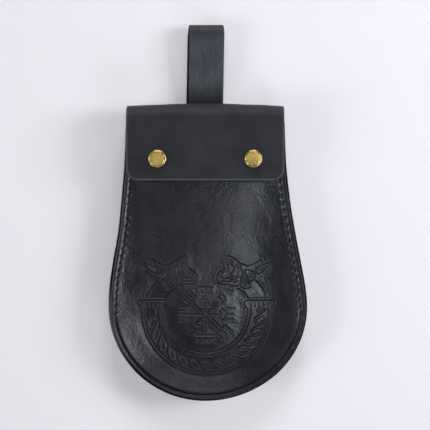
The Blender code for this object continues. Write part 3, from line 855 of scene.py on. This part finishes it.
def starLines():
    centre = np.array(ornament["star"])
    around = np.linspace(0, 2 * math.pi, 40)
    lines = [(0.8, centre + 1.9 * np.stack([np.cos(around), np.sin(around)], 1))]
    for arm in starArms:
        turn = math.radians(arm["turn"])
        out, side = np.array([math.cos(turn), math.sin(turn)]), np.array([-math.sin(turn), math.cos(turn)])
        if arm["reach"]:
            lines.append((1.0, np.array([centre + out * 2.4, centre + out * arm["reach"]])))
        for distance, half in arm["bars"]:
            lines.append((0.95, np.array([centre + out * distance + side * s for s in (-half, half)])))
        for across, near, far in arm["prongs"]:
            lines.append((0.9, np.array([centre + side * across + out * d for d in (near, far)])))
        bend = np.linspace(-1.25, 1.25, 24)[:, None]
        for distance, radius in arm.get("arcs", []):
            bow = centre + out * (distance - radius * (1 - np.cos(bend))) + side * radius * np.sin(bend)
            lines.append((0.9, bow))
    return lines


def pressedLines():
    # every line as close points in metres, with its half width and depth
    lines = ringLines() + starLines()
    for x, outwards in ornament["headPlaces"]:
        lines += headStrokes(x, outwards)
    for x in ornament["collarPlaces"]:
        lines += collarLines(x)
    places, halfWidths, depths = [], [], []
    for weight, points in lines:
        even = evenLine(points, ornament["sample"])
        uneven = unevenness(even[:, 0], even[:, 1], ornament["unevenSize"], 21)
        places.append(even * mm)
        halfWidths.append(np.full(len(even), ornament["halfGroove"] * math.sqrt(weight) * mm))
        depths.append(ornament["depth"] * weight * mm * (1 + ornament["uneven"] * uneven))
    stitches, along = seamLine(seam["pitch"])
    tangent = np.gradient(stitches, axis=0)
    heading = np.arctan2(tangent[:, 1], tangent[:, 0]) + math.radians(seam["slitSlant"])
    slitDepths = seam["slitDepth"] * (1 - seam["slitFade"] * belowShare(along))
    for spot, turn, depth in zip(stitches, heading, slitDepths):
        reach = seam["slitLength"] / 2 * np.array([math.cos(turn), math.sin(turn)])
        even = evenLine([spot - reach, spot + reach], ornament["sample"] * mm)
        places.append(even)
        halfWidths.append(np.full(len(even), seam["slitHalfWidth"]))
        depths.append(np.full(len(even), depth))
    return np.concatenate(places), np.concatenate(halfWidths), np.concatenate(depths)


linePlaces, lineHalfWidths, lineDepths = pressedLines()
lineTree = flatTree(linePlaces)
print("ornament drawn,", len(linePlaces), "line points")


# Front panel

front = {
    "fineStep": 0.34 * mm,
    "levelReach": [0.85 * mm, 1.9 * mm],   # from a line to where the mesh gets coarser
    "coarseUnder": 4.0 * mm,     # how far under the flap it is coarse all over
    "marginReach": 7.2 * mm,     # how far in from the edge it stays fairly fine
    "loopStep": 0.7 * mm,
    "underStep": 5.0 * mm,
    "wave": 0.28 * mm,
    "waveSize": 46.0 * mm,
    "waveFrom": (7.0 * mm, 12.0 * mm),     # how far in the waves start, and over how much
    "seamPull": (6.0 * mm, 14.0 * mm),     # and where the belly lets go of the drawn out seam
    "lipFrom": 8.0 * mm,
    "pressedUnder": 8.0 * mm,    # how far under the flap the ornament ends
    "pressedFade": 4.0 * mm,
    "flapShade": 0.9,            # darker in the shadow at the flap's edge
    "flapShadeReach": 1.9 * mm,
    "cutReach": 0.9 * mm,
}
coarseY = flapEdgeY + front["coarseUnder"]


def underFlap(x, y):
    # 1 under the flap, fading out just past its edge
    across = np.maximum(np.abs(x - foldX) - flap["halfWidth"] + flap["corner"], 0.0)
    past = np.hypot(across, np.maximum(flapEdgeY + flap["corner"] - y, 0.0)) - flap["corner"]
    return 1 - smoothStep(past / front["flapShadeReach"])


def frontShape(x, y):
    # height of the outer face, how dark it is from the pressed lines and from painted shade and shadow, and
    # how near its cut edge is, from 0 to 1
    inset, along = outlineDistance(x, y)
    nearest, distance = nearestIn(lineTree, x, y)
    inside = inset - frontEdgeInset(along)
    line = seamInsetAt(along)
    nearLine = 1 - fadeIn(inset, *front["seamPull"])
    height = frontHeight(x, y, body["seamInset"] + (line - body["seamInset"]) * nearLine)
    height = height + seamProfile(inset - line, along)
    rounding = np.clip(1 - inside / seam["edgeRadius"], 0.0, 1.0)
    height = height - seam["edgeRadius"] * (1 - np.sqrt(1 - 0.98 * rounding**2))
    calm = fadeIn(inset, *front["waveFrom"])
    height = height + front["wave"] * calm * unevenness(x, y, front["waveSize"], 12)
    share = 0.5 * (1 + np.cos(math.pi * np.minimum(distance / lineHalfWidths[nearest], 1.0)))
    away = distance / (ornament["lipReach"] * mm)
    lip = ornament["lip"] * mm * away * np.exp(1 - away)
    shown = smoothStep((flapEdgeY + front["pressedUnder"] - y) / front["pressedFade"])
    height = height + (lip * (inset > front["lipFrom"]) - lineDepths[nearest] * share) * shown
    # painted shade along the deep groove round the bottom and painted shadow just past the flap's edge,
    # darkening the face with the pressed lines
    grooveAndShade = belowShare(along) * np.exp(-((inset - line) / seam["grooveShade"]) ** 2)
    darkened = np.maximum.reduce([share * shown, grooveAndShade, front["flapShade"] * underFlap(x, y)])
    return height, darkened, 1 - smoothStep(inside / front["cutReach"])


def triangulate(loop, holes, loose):
    # triangles between the loop and the holes; returns points, faces and each loop's new places
    points = [Vector(p) for p in np.concatenate([loop, *holes, loose]) * 1000]
    edges, start, spans = [], 0, []
    for ring in [loop, *holes]:
        count = len(ring)
        edges += [(start + n, start + (n + 1) % count) for n in range(count)]
        spans.append(range(start, start + count))
        start += count
    made, _, faces, origins, _, _ = delaunay_2d_cdt(points, edges, [], 1, 1e-5)
    place = {old: new for new, olds in enumerate(origins) for old in olds}
    made = np.array([(p.x, p.y) for p in made]) / 1000
    faces = np.array(faces)
    middles = made[faces].mean(1)
    for ring in holes:
        centre = ring.mean(0)
        radius = np.hypot(*(ring[0] - centre))
        outside = np.hypot(*(middles - centre).T) > radius
        faces, middles = faces[outside], middles[outside]
    return made, faces, [[place[n] for n in span] for span in spans]


def edgeRing(along, extra):
    # the front panel's cut edge, moved in by that much
    move = frontEdgeInset(outline["along"]) + extra
    points = outline["points"] + outline["inward"] * move[:, None]
    return pointsAlong(points, outline["along"], along)


def clearOfHoles(x, y, reach):
    return np.all([np.hypot(x - a, y - snapY) > reach for a in snapPlaces.values()], axis=0)


def frontLattice():
    # points on a square lattice, close together by the lines and in the groove, coarser elsewhere
    step = front["fineStep"]
    columns = np.arange(int(-body["halfWidth"] / step) - 2, int(body["halfWidth"] / step) + 3)
    rows = np.arange(int(bottomY / step) - 2, int(mouthY / step))
    i, j = [a.ravel() for a in np.meshgrid(columns, rows)]
    level = np.zeros(len(i), dtype=int)
    for size in (2, 4):
        level += (i % size == 0) & (j % size == 0)
    x, y = i * step, j * step
    keep = (np.abs(x - driftAt(y)) < halfWidthAt(y) - seam["frontStep"]) & ((y < coarseY) | (level > 1))
    x, y, level = x[keep], y[keep], level[keep]
    inset, place = outlineDistance(x, y)
    wanted = np.searchsorted(front["levelReach"], nearestIn(lineTree, x, y)[1])
    wanted = np.where(inset < front["marginReach"], np.minimum(wanted, 1), wanted)
    inGroove = (np.abs(inset - seamInsetAt(place)) < seam["grooveReach"]) & (belowShare(place) > 0)
    wanted = np.where(inGroove, 0, wanted)
    wanted = np.where(y > coarseY, 2, wanted)
    clearOfEdge = inset - frontEdgeInset(place) > seam["edgeRadius"] + 0.3 * mm
    clearOfMouth = y < mouthY - 1.2 * mm
    clear = clearOfEdge & clearOfMouth & clearOfHoles(x, y, snap["postHole"] / 2 + 0.5 * mm)
    keep = (level >= wanted) & clear
    return np.stack([x[keep], y[keep]], 1)


def coarseLattice():
    # points for the inner face
    step = front["underStep"]
    columns = np.arange(-body["halfWidth"], body["halfWidth"], step)
    x, y = [a.ravel() for a in np.meshgrid(columns, np.arange(bottomY, mouthY - 3 * mm, step))]
    keep = (outlineDistance(x, y)[0] > 4 * mm) & clearOfHoles(x, y, 4 * mm)
    return np.stack([x[keep], y[keep]], 1)


def underside(x, y):
    # height of the inner face, a panel's thickness square from the outer one
    reach = 0.5 * mm
    slopeX = (frontHeight(x + reach, y) - frontHeight(x - reach, y)) / (2 * reach)
    slopeY = (frontHeight(x, y + reach) - frontHeight(x, y - reach)) / (2 * reach)
    return frontHeight(x, y) - body["panel"] * np.sqrt(1 + slopeX**2 + slopeY**2)


def buildFrontPanel():
    along = np.linspace(0, outlineLength, int(round(outlineLength / front["loopStep"])))
    edge = edgeRing(along, 0.0)
    mouth = np.linspace(edge[-1], edge[0], 70)[1:-1]
    loop = np.concatenate([edge, mouth])
    turn = np.linspace(0, 2 * math.pi, 33)[:-1]
    circle = np.stack([np.cos(turn), np.sin(turn)], 1) * snap["postHole"] / 2
    holes = [circle + (x, snapY) for x in snapPlaces.values()]
    rounding = [edgeRing(along, share * seam["edgeRadius"])[1:-1] for share in (0.1, 0.35, 0.7, 1.15)]
    top, topFaces, topRings = triangulate(loop, holes, np.concatenate([*rounding, frontLattice()]))
    height, darkened, cut = frontShape(top[:, 0], top[:, 1])
    inner = [edgeRing(along, 1.4 * mm)[1:-1:2], edgeRing(along, 3.6 * mm)[1:-1:3], coarseLattice()]
    under, underFaces, underRings = triangulate(loop, holes, np.concatenate(inner))

    points = np.concatenate([np.column_stack([top, height]),
                             np.column_stack([under, underside(under[:, 0], under[:, 1])])])
    faces = topFaces.tolist() + (underFaces[:, ::-1] + len(top)).tolist()
    sharp = set()
    for upper, lower in zip(topRings, underRings):
        lower = [n + len(top) for n in lower]
        sharp.update(lower)
        for n in range(len(upper)):
            following = (n + 1) % len(upper)
            faces.append((upper[n], lower[n], lower[following], upper[following]))
    mesh = bpy.data.meshes.new("frontPanel")
    mesh.from_pydata(points.tolist(), [], faces)
    addAttribute(mesh, "edge", np.concatenate([cut, np.zeros(len(under))]))
    addAttribute(mesh, "darkened", np.concatenate([darkened, np.zeros(len(under))]))
    with editing(mesh) as shape:
        bmesh.ops.recalc_face_normals(shape, faces=shape.faces)
        for line in shape.edges:
            if line.verts[0].index in sharp and line.verts[1].index in sharp:
                line.smooth = False
        bmesh.ops.triangulate(shape, faces=[f for f in shape.faces if len(f.verts) > 3])
    for polygon in mesh.polygons:
        polygon.use_smooth = True
    return newPiece("frontPanel", mesh, leather["coatedLeatherMoulded"])


frontPanel = buildFrontPanel()
print("front panel made,", len(frontPanel.data.polygons), "triangles")


# Gusset

gussetLook = {
    "thickness": 1.6 * mm,
    "clearance": 0.3 * mm,
    "inset": 8.6 * mm,           # outer edge to the inside of the wall
    "bend": 2.0 * mm,
    "stationStep": 1.5 * mm,
    "edgeRadius": 0.35 * mm,
    "sag": 0.35 * mm,            # waviness of the wall
    "sagSize": 38.0 * mm,
    "sagHeight": 4.0 * mm,       # over how much of the wall it fades
    # millimetres in along a flange, and how raw the front and the back one are there
    "flange": [(0.0, 1.0, 1.0), (0.6, 1.0, 0.9), (1.4, 0.8, 0.15), (3.4, 0.0, 0.0), (5.4, 0.0, 0.0)],
    # where the brown raw edge shows, because the front panel's edge falls short
    "rawStretch": ((0.23, 0.05), (0.32, 0.06)),
}


def gussetProfile(top, foot):
    # in from the outer edge, height, share of the back panel's climb it follows, and rawness
    inset, bend = gussetLook["inset"], gussetLook["bend"]
    profile = [(across * mm, top, 0.0, raw) for across, raw, _ in gussetLook["flange"]]
    for angle in np.linspace(0, math.pi / 2, 6):
        profile.append((inset - bend * (1 - math.sin(angle)), top - bend * (1 - math.cos(angle)), 0.0, 0.0))
    for share in (0.25, 0.5, 0.75):
        profile.append((inset, top - bend + (foot - top + 2 * bend) * share, share, 0.0))
    for angle in np.linspace(math.pi / 2, 0, 6):
        profile.append((inset - bend * (1 - math.sin(angle)), foot + bend * (1 - math.cos(angle)), 1.0, 0.0))
    return profile + [(across * mm, foot, 1.0, raw) for across, _, raw in gussetLook["flange"][::-1]]


def buildGusset():
    path = walkOutline(gussetLook["stationStep"])
    top = body["seamHeight"] - body["panel"] - gussetLook["clearance"]
    foot = body["panel"] + gussetLook["clearance"]
    waves = unevenness(path["along"], path["along"] * 0, gussetLook["sagSize"], 3)
    rows, edges = [], []
    for across, height, followsBack, raw in gussetProfile(top, foot):
        onWall = across == gussetLook["inset"]
        wall = math.exp(-((height - (top + foot) / 2) / gussetLook["sagHeight"]) ** 2) if onWall else 0.0
        sag = gussetLook["sag"] * wall * waves
        points = path["points"] + path["inward"] * (across - sag)[:, None]
        rows.append(np.column_stack([points, height + followsBack * backHeight(points[:, 1])]))
        edges.append(raw * stretchShare(path["along"], gussetLook["rawStretch"]))
    mesh = gridMesh("gussetStrip", np.array(rows), {"edge": np.array(edges)})
    piece = newPiece("gussetStrip", mesh, leather["coatedLeatherGusset"])
    thicken(piece, gussetLook["thickness"], -1.0, gussetLook["edgeRadius"])
    return applyModifiers(piece)


gussetStrip = buildGusset()
print("gusset made,", len(gussetStrip.data.polygons), "faces")


# Belt loop

strap = {
    "width": 24.3 * mm,
    "thickness": 2.2 * mm,
    "clearance": 0.3 * mm,
    "offset": 0.29 * mm,
    "lean": 0.0187,              # sideways for each metre towards the end of the loop
    "skew": 1.8 * mm,            # how far the back leg lies to the left of the front one
    "tail": 45.0 * mm,           # length behind the back panel
    "bend": 5.1 * mm,
    "fullness": 0.75,
    "margins": np.array([0.0, 0.7, 1.4, 2.4]) * mm,   # first points in from the edge
    "edgeRadius": 0.6 * mm,
    "wave": 0.10 * mm,
    "waveSize": 16.0 * mm,
    "freeReach": 8.0 * mm,       # past the fold of the flap, to where it waves freely
    "wornReach": 1.2 * mm,
    "shadeReach": 22 * mm,       # painted shade where it comes out from behind the flap's fold
    "foldShade": 0.45,           # and, less so, at its own fold
    "foldShadeReach": 10.0 * mm,
}
loopEndY = foldY + body["loopRise"]
tailY = foldY - strap["tail"]


def strapRoute(bendY):
    # along Y and Z from one end round the loop to the other, with the share of the way round the bend
    lower = strap["thickness"] / 2
    upper = lower + strap["thickness"] + strap["clearance"]
    bendZ = lower + strap["bend"]
    loopTop = bendZ + strap["bend"]
    ends = [tailY, tailY + 0.8 * mm]
    route = [(y, lower, 0.0) for y in [*ends, *np.linspace(tailY + 2 * mm, bendY, 60)]]
    for angle in np.linspace(0, math.pi, 29)[1:-1]:
        y, z = bendY + strap["bend"] * math.sin(angle), bendZ - strap["bend"] * math.cos(angle)
        route.append((y, z, angle / math.pi))
    for share in np.linspace(1, 0, 40):
        rise = (loopTop - upper) * smoothStep(share ** strap["fullness"])
        route.append((foldStartY + (bendY - foldStartY) * share, upper + rise, 1.0))
    return route + [(y, upper, 1.0) for y in [*np.linspace(foldStartY, tailY + 2 * mm, 18)[1:], *ends[::-1]]]


def buildBeltLoop():
    bendY = loopEndY - strap["thickness"] / 2 - strap["bend"]
    route = strapRoute(bendY)
    half = strap["width"] / 2
    across = acrossOffsets(half, strap["margins"], 11)
    rows, edges, paintedShades = [], [], []
    for place, (y, z, share) in enumerate(route):
        centre = foldX + strap["offset"] + strap["lean"] * (y - foldY) - strap["skew"] * (1 - share)
        wave = strap["wave"] * fadeIn(y, foldY, strap["freeReach"])
        wave = wave * unevenness(across, across * 0 + y, strap["waveSize"], 7)
        rows.append(np.column_stack([centre + across, np.full(len(across), y), z + wave]))
        fromEnd = y - tailY if min(place, len(route) - 1 - place) < 6 else half
        inside = np.minimum(half - np.abs(across), fromEnd)
        edges.append((1 - smoothStep(inside / strap["wornReach"])) * share)
        # painted shade and shadow: the back leg's strip beside the front leg as if in its shadow, darker
        # where it comes out from behind the flap's fold, and less so at its own fold
        shadowBesideFrontLeg = (1 - share) * (across < 3 * mm - half)
        shade = 1 - smoothStep((max(y - foldY, 0.0) / strap["shadeReach"]) ** 0.7)
        shadeAtOwnFold = strap["foldShade"] * fadeIn(y, bendY - strap["foldShadeReach"], strap["foldShadeReach"])
        paintedShades.append(np.maximum(shadowBesideFrontLeg, max(shade, shadeAtOwnFold)))
    mesh = gridMesh("beltLoop", np.array(rows), {"edge": np.array(edges), "darkened": np.array(paintedShades)})
    piece = newPiece("beltLoop", mesh, leather["coatedLeatherStrap"])
    thicken(piece, strap["thickness"], 0.0, strap["edgeRadius"])
    return applyModifiers(piece)


beltLoop = buildBeltLoop()
print("belt loop made,", len(beltLoop.data.polygons), "faces")


# Snap caps

def turnedMesh(name, profile, hollows, steps):
    # turned about Z from a profile of radius and height that runs down its outer side
    turn = np.linspace(0, 2 * math.pi, steps + 1)
    profile = np.array(profile)
    rows = np.stack([np.outer(profile[:, 0], np.cos(turn)), np.outer(profile[:, 0], np.sin(turn)),
                     np.repeat(profile[:, 1:], steps + 1, axis=1)], 2)
    darkened = np.repeat(np.array(hollows)[::-1, None], steps + 1, axis=1)
    mesh = gridMesh(name, rows[::-1], {"darkened": darkened})
    with editing(mesh) as shape:
        bmesh.ops.remove_doubles(shape, verts=shape.verts, dist=0.002 * mm)
        bmesh.ops.recalc_face_normals(shape, faces=shape.faces)
    mesh.set_sharp_from_angle(angle=math.radians(50))
    return mesh


def buildSnapCap(side):
    radius, foot, bead = snap["capDiameter"] / 2, snap["clearance"], snap["bead"]
    crown, top = radius - snap["crownInset"], foot + snap["capHeight"]
    profile = [(crown * share, top - snap["crownDrop"] * share**2.4) for share in np.linspace(0, 1, 12)]
    hollows = [0.0] * len(profile)
    # a shallow ring, then the round edge
    profile += [(crown + 0.10 * mm, top - 0.20 * mm), (crown + 0.25 * mm, top - 0.19 * mm)]
    hollows += [0.7, 0.3]
    beadHeight = foot + snap["rim"] + 0.25 * mm
    for angle in np.linspace(math.radians(75), math.radians(-60), 12):
        profile.append((radius - bead * (1 - math.cos(angle)), beadHeight + 1.2 * bead * math.sin(angle)))
        hollows.append(0.0)
    post, postEnd = snap["post"] / 2, -(body["panel"] + snap["clearance"] + snap["plate"])
    profile += [(radius - 0.9 * mm, foot), (post, foot), (post, postEnd), (0.0, postEnd)]
    hollows += [0.6] * 4
    mesh = turnedMesh("snapCap_" + side, profile, hollows, snap["turnSteps"])
    mesh.transform(snapMatrix(side, flap["gap"] + body["panel"]))
    return newPiece("snapCap_" + side, mesh, brass)


snapCaps = {side: buildSnapCap(side) for side in snapPlaces}
print("snap caps made")


# Stitches

def stitchRowTree():
    tree = bpy.data.node_groups.new("stitchRow", "GeometryNodeTree")
    for name, kind in (("Path", "Geometry"), ("Stitches", "Int"), ("Length", "Float"), ("Width", "Float"),
                       ("Height", "Float"), ("Slant", "Float"), ("Unevenness", "Float"), ("Seed", "Int"),
                       ("Thread", "Material")):
        tree.interface.new_socket(name, in_out="INPUT", socket_type="NodeSocket" + kind)
    tree.interface.new_socket("Row", in_out="OUTPUT", socket_type="NodeSocketGeometry")
    given = addNode(tree, "NodeGroupInput")
    curve = addNode(tree, "GeometryNodeMeshToCurve", "Curve", {"Mesh": given["Path"]})
    even = addNode(tree, "GeometryNodeResampleCurve", "Curve", {"Curve": curve, "Count": given["Stitches"]})
    tangent = addNode(tree, "GeometryNodeInputTangent", "Tangent")
    heading = addNode(tree, "FunctionNodeAlignRotationToVector", "Rotation", {"Vector": tangent}, axis="X")
    wander = addNode(tree, "ShaderNodeMath", "Value", {
        0: given["Unevenness"], 1: -1.0,
    }, operation="MULTIPLY")
    # of the Random Value's sockets, 2 and 3 are the lowest and highest float and 1 is its result
    loose = addNode(tree, "FunctionNodeRandomValue", 1, {
        2: wander, 3: given["Unevenness"], "Seed": given["Seed"],
    }, data_type="FLOAT")
    slant = addNode(tree, "ShaderNodeMath", "Value", {0: given["Slant"], 1: loose}, operation="ADD")
    spin = addNode(tree, "FunctionNodeAxisAngleToRotation", "Rotation", {"Axis": (0, 0, 1), "Angle": slant})
    turned = addNode(tree, "FunctionNodeRotateRotation", "Rotation", {
        "Rotation": heading, "Rotate By": spin,
    }, rotation_space="LOCAL")
    size = addNode(tree, "ShaderNodeCombineXYZ", "Vector", {
        "X": given["Length"], "Y": given["Width"], "Z": given["Height"],
    })
    bead = addNode(tree, "GeometryNodeMeshUVSphere", "Mesh", {"Segments": 8, "Rings": 6, "Radius": 0.5})
    row = addNode(tree, "GeometryNodeInstanceOnPoints", "Instances", {
        "Points": even, "Instance": bead, "Rotation": turned, "Scale": size,
    })
    row = addNode(tree, "GeometryNodeRealizeInstances", "Geometry", {"Geometry": row})
    row = addNode(tree, "GeometryNodeSetShadeSmooth", "Geometry", {"Geometry": row})
    row = addNode(tree, "GeometryNodeSetMaterial", "Geometry", {"Geometry": row, "Material": given["Thread"]})
    addNode(tree, "NodeGroupOutput", None, {"Row": row})
    return tree


stitchRow = stitchRowTree()
stitchLooks = {
    "seam": {"Length": 2.7 * mm, "Width": 0.80 * mm, "Height": 0.55 * mm, "Slant": math.radians(-25),
             "Unevenness": math.radians(6), "Seed": 5},
    "back": {"Length": 4.7 * mm, "Width": 0.85 * mm, "Height": 0.50 * mm, "Slant": math.radians(9),
             "Unevenness": math.radians(4), "Seed": 6},
    "box": {"Length": 3.6 * mm, "Width": 0.85 * mm, "Height": 0.50 * mm, "Slant": math.radians(6),
            "Unevenness": math.radians(3), "Seed": 7},
}
sewing = {
    "sample": 0.5 * mm,
    "sunk": 0.42 * mm,           # front stitches below the top of the seam, and more in the groove
    "sunkInGroove": 0.45 * mm,
    "boxPitch": 4.1 * mm,
    "boxHalfWidth": 8.2 * mm,
    "boxEnds": (4.0 * mm, 24.0 * mm),   # from the foot of the strap's ends
}


def sewRow(name, path, height, look, count):
    # stitches evenly along the path, their middles on its first and last point
    mesh = bpy.data.meshes.new(name)
    points = np.column_stack([path, np.broadcast_to(height, len(path))])
    mesh.from_pydata(points.tolist(), [(n, n + 1) for n in range(len(path) - 1)], [])
    piece = newObject(name, mesh)
    nodes = piece.modifiers.new("stitchRow", "NODES")
    nodes.node_group = stitchRow
    values = {**stitchLooks[look], "Stitches": count, "Thread": thread}
    for item in stitchRow.interface.items_tree:
        if item.in_out == "INPUT" and item.name in values:
            nodes[item.identifier] = values[item.name]
    return applyModifiers(piece)


def buildBoxStitches():
    # a crossed box through the strap's ends and the back panel
    centre = foldX + strap["offset"] - strap["skew"]
    left, right = centre - sewing["boxHalfWidth"], centre + sewing["boxHalfWidth"]
    low, high = (tailY + end for end in sewing["boxEnds"])
    sides = [((left, low), (right, low)), ((right, low), (right, high)), ((right, high), (left, high)),
             ((left, high), (left, low)), ((left, low), (right, high)), ((right, low), (left, high))]
    pieces = []
    for number, (start, end) in enumerate(sides):
        start, end = np.array(start), np.array(end)
        count = int(round(np.hypot(*(end - start)) / sewing["boxPitch"]))
        half = (end - start) / count / 2
        path = np.linspace(start + half, end - half, 12)
        pieces.append(sewRow("boxStitch_%d" % number, path, 0.0, "box", count))
    mesh = bpy.data.meshes.new("boxStitches")
    with editing(mesh) as shape:
        for piece in pieces:
            shape.from_mesh(piece.data)
    for piece in pieces:
        bpy.data.objects.remove(piece, do_unlink=True)
    mesh.shade_smooth()
    return newPiece("boxStitches", mesh, thread)


stitchCount = len(seamLine(seam["pitch"])[0])
seamPath, seamPlaces = seamLine(sewing["sample"])
sunkHeight = body["seamHeight"] - sewing["sunk"] - sewing["sunkInGroove"] * belowShare(seamPlaces)
frontSeamStitches = sewRow("frontSeamStitches", seamPath, sunkHeight, "seam", stitchCount)
backSeamStitches = sewRow("backSeamStitches", seamPath, backHeight(seamPath[:, 1]), "back", stitchCount)
boxStitches = buildBoxStitches()
sewn = (frontSeamStitches, backSeamStitches, boxStitches)
print("stitches sewn,", sum(len(piece.data.polygons) for piece in sewn), "faces")


# What each piece stands for

placing = [
    (flapAndBack, ["back_panel_flap"], "flap_leather"),
    (frontPanel, ["front_panel"], "front_leather"),
    (gussetStrip, ["gusset"], "gusset_leather"),
    (beltLoop, ["belt_loop"], "strap_leather"),
    (snapCaps["left"], ["snap_cap_left"], "brass"),
    (snapCaps["right"], ["snap_cap_right"], "brass"),
    (frontSeamStitches, [], None),
    (backSeamStitches, [], None),
    (boxStitches, [], None),
]
for piece, nodes, slot in placing:
    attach(piece, "root")
    if nodes:
        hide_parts(*nodes)
for name in ("snap_socket_left", "snap_socket_right", "snap_stud_left", "snap_stud_right"):
    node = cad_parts[name]
    node.data.materials.clear()
    node.data.materials.append(brass)
print("pieces placed")


# Camera, light and floor

studio = {
    "camera": (4.95 * mm, -2.9 * mm, 650.0 * mm),
    "lens": 76.18,
    "floor": "#ecebed",
    "floorHeight": -0.3 * mm,
    "floorReach": 2.5,
    "world": "#e8ecf4",
    "worldStrength": 0.05,
    "lightDistance": 1.2,
}

# Power in watts, width and depth in metres, tilt from straight above and direction round from the
# right in degrees, colour. Diffuse lights give no reflection, and glossy ones are only reflected.
lights = {
    "diffuse": {
        "topLight": (3.8, 0.25, 0.25, 0, 0, "#fbfbff"),
        "windowLight": (8.7, 0.45, 0.45, 60, 8, "#f7f9ff"),
        "backLight": (6.4, 0.45, 0.45, 60, 86, "#f7f9ff"),
        "leftFill": (4.3, 0.50, 0.45, 60, 200, "#fbf9ff"),
        "nearFill": (2.9, 0.50, 0.45, 60, 298, "#f7f9ff"),
    },
    "glossy": {
        "ceiling": (0.6, 0.40, 0.40, 0, 0, "#f6f6ff"),
        "sheenRight": (0.85, 0.17, 0.17, 15, 0, "#eaf0ff"),
        "sheenHigh": (0.55, 0.15, 0.15, 18, 42, "#eaf0ff"),
        "sheenLow": (1.2, 0.22, 0.22, 20, 328, "#eaf0ff"),
        "sheenLeft": (0.45, 0.34, 0.30, 30, 144, "#f0f3ff"),
        "leftPanel": (3.3, 0.40, 0.34, 64, 176, "#f4f4ff"),
        "lowLeftPanel": (2.5, 0.45, 0.36, 54, 213, "#f4f4ff"),
        "nearPanel": (1.45, 0.95, 0.34, 56, 262, "#f4f4ff"),
        "rightPanel": (4.2, 1.00, 0.30, 72, 4, "#f4f6ff"),
        "lowRightPanel": (0.35, 0.70, 0.22, 58, 322, "#f4f6ff"),
        "farPanel": (6.6, 0.90, 0.50, 60, 90, "#f4f4ff"),
    },
}


def addSoftLight(name, shows, power, width, depth, tilt, turn, colour):
    light = bpy.data.lights.new(name, "AREA")
    light.shape, light.size, light.size_y = "RECTANGLE", width, depth
    light.energy = power
    light.color = linearColour(colour)[:3]
    tilt, turn = math.radians(tilt), math.radians(turn)
    direction = Vector((math.sin(tilt) * math.cos(turn), math.sin(tilt) * math.sin(turn), math.cos(tilt)))
    lamp = newObject(name, light)
    lamp.location = direction * studio["lightDistance"]
    lamp.rotation_euler = direction.to_track_quat("Z", "Y").to_euler()
    lamp.visible_glossy, lamp.visible_diffuse = shows == "glossy", shows == "diffuse"


for shows, table in lights.items():
    for name, row in table.items():
        addSoftLight(name, shows, *row)

world = bpy.data.worlds.new("studioWorld")
world.use_nodes = True
background = world.node_tree.nodes["Background"]
background.inputs["Color"].default_value = linearColour(studio["world"])
background.inputs["Strength"].default_value = studio["worldStrength"]
bpy.context.scene.world = world

floorMesh = bpy.data.meshes.new("studioFloor")
floorMesh.from_pydata([
    (x * studio["floorReach"], y * studio["floorReach"], studio["floorHeight"])
    for x, y in ((-1, -1), (1, -1), (1, 1), (-1, 1))
], [], [(0, 1, 2, 3)])
# Matt white board: an even, pale ground with soft shadows and hardly any shine.
floorMaterial, floorTree = newMaterial("mattWhiteBoard")
board = addNode(floorTree, "ShaderNodeBsdfPrincipled", "BSDF", {
    "Base Color": linearColour(studio["floor"]), "Roughness": 0.85, "Specular IOR Level": 0.2,
})
addNode(floorTree, "ShaderNodeOutputMaterial", None, {"Surface": board})
studioFloor = newPiece("studioFloor", floorMesh, floorMaterial)

camera = bpy.data.cameras.new("studioCamera")
camera.lens = studio["lens"]
camera.sensor_width = 36.0
cameraStand = newObject("studioCamera", camera)
cameraStand.location = studio["camera"]
bpy.context.scene.camera = cameraStand
bpy.context.scene.view_settings.view_transform = "Standard"
print("studio set")
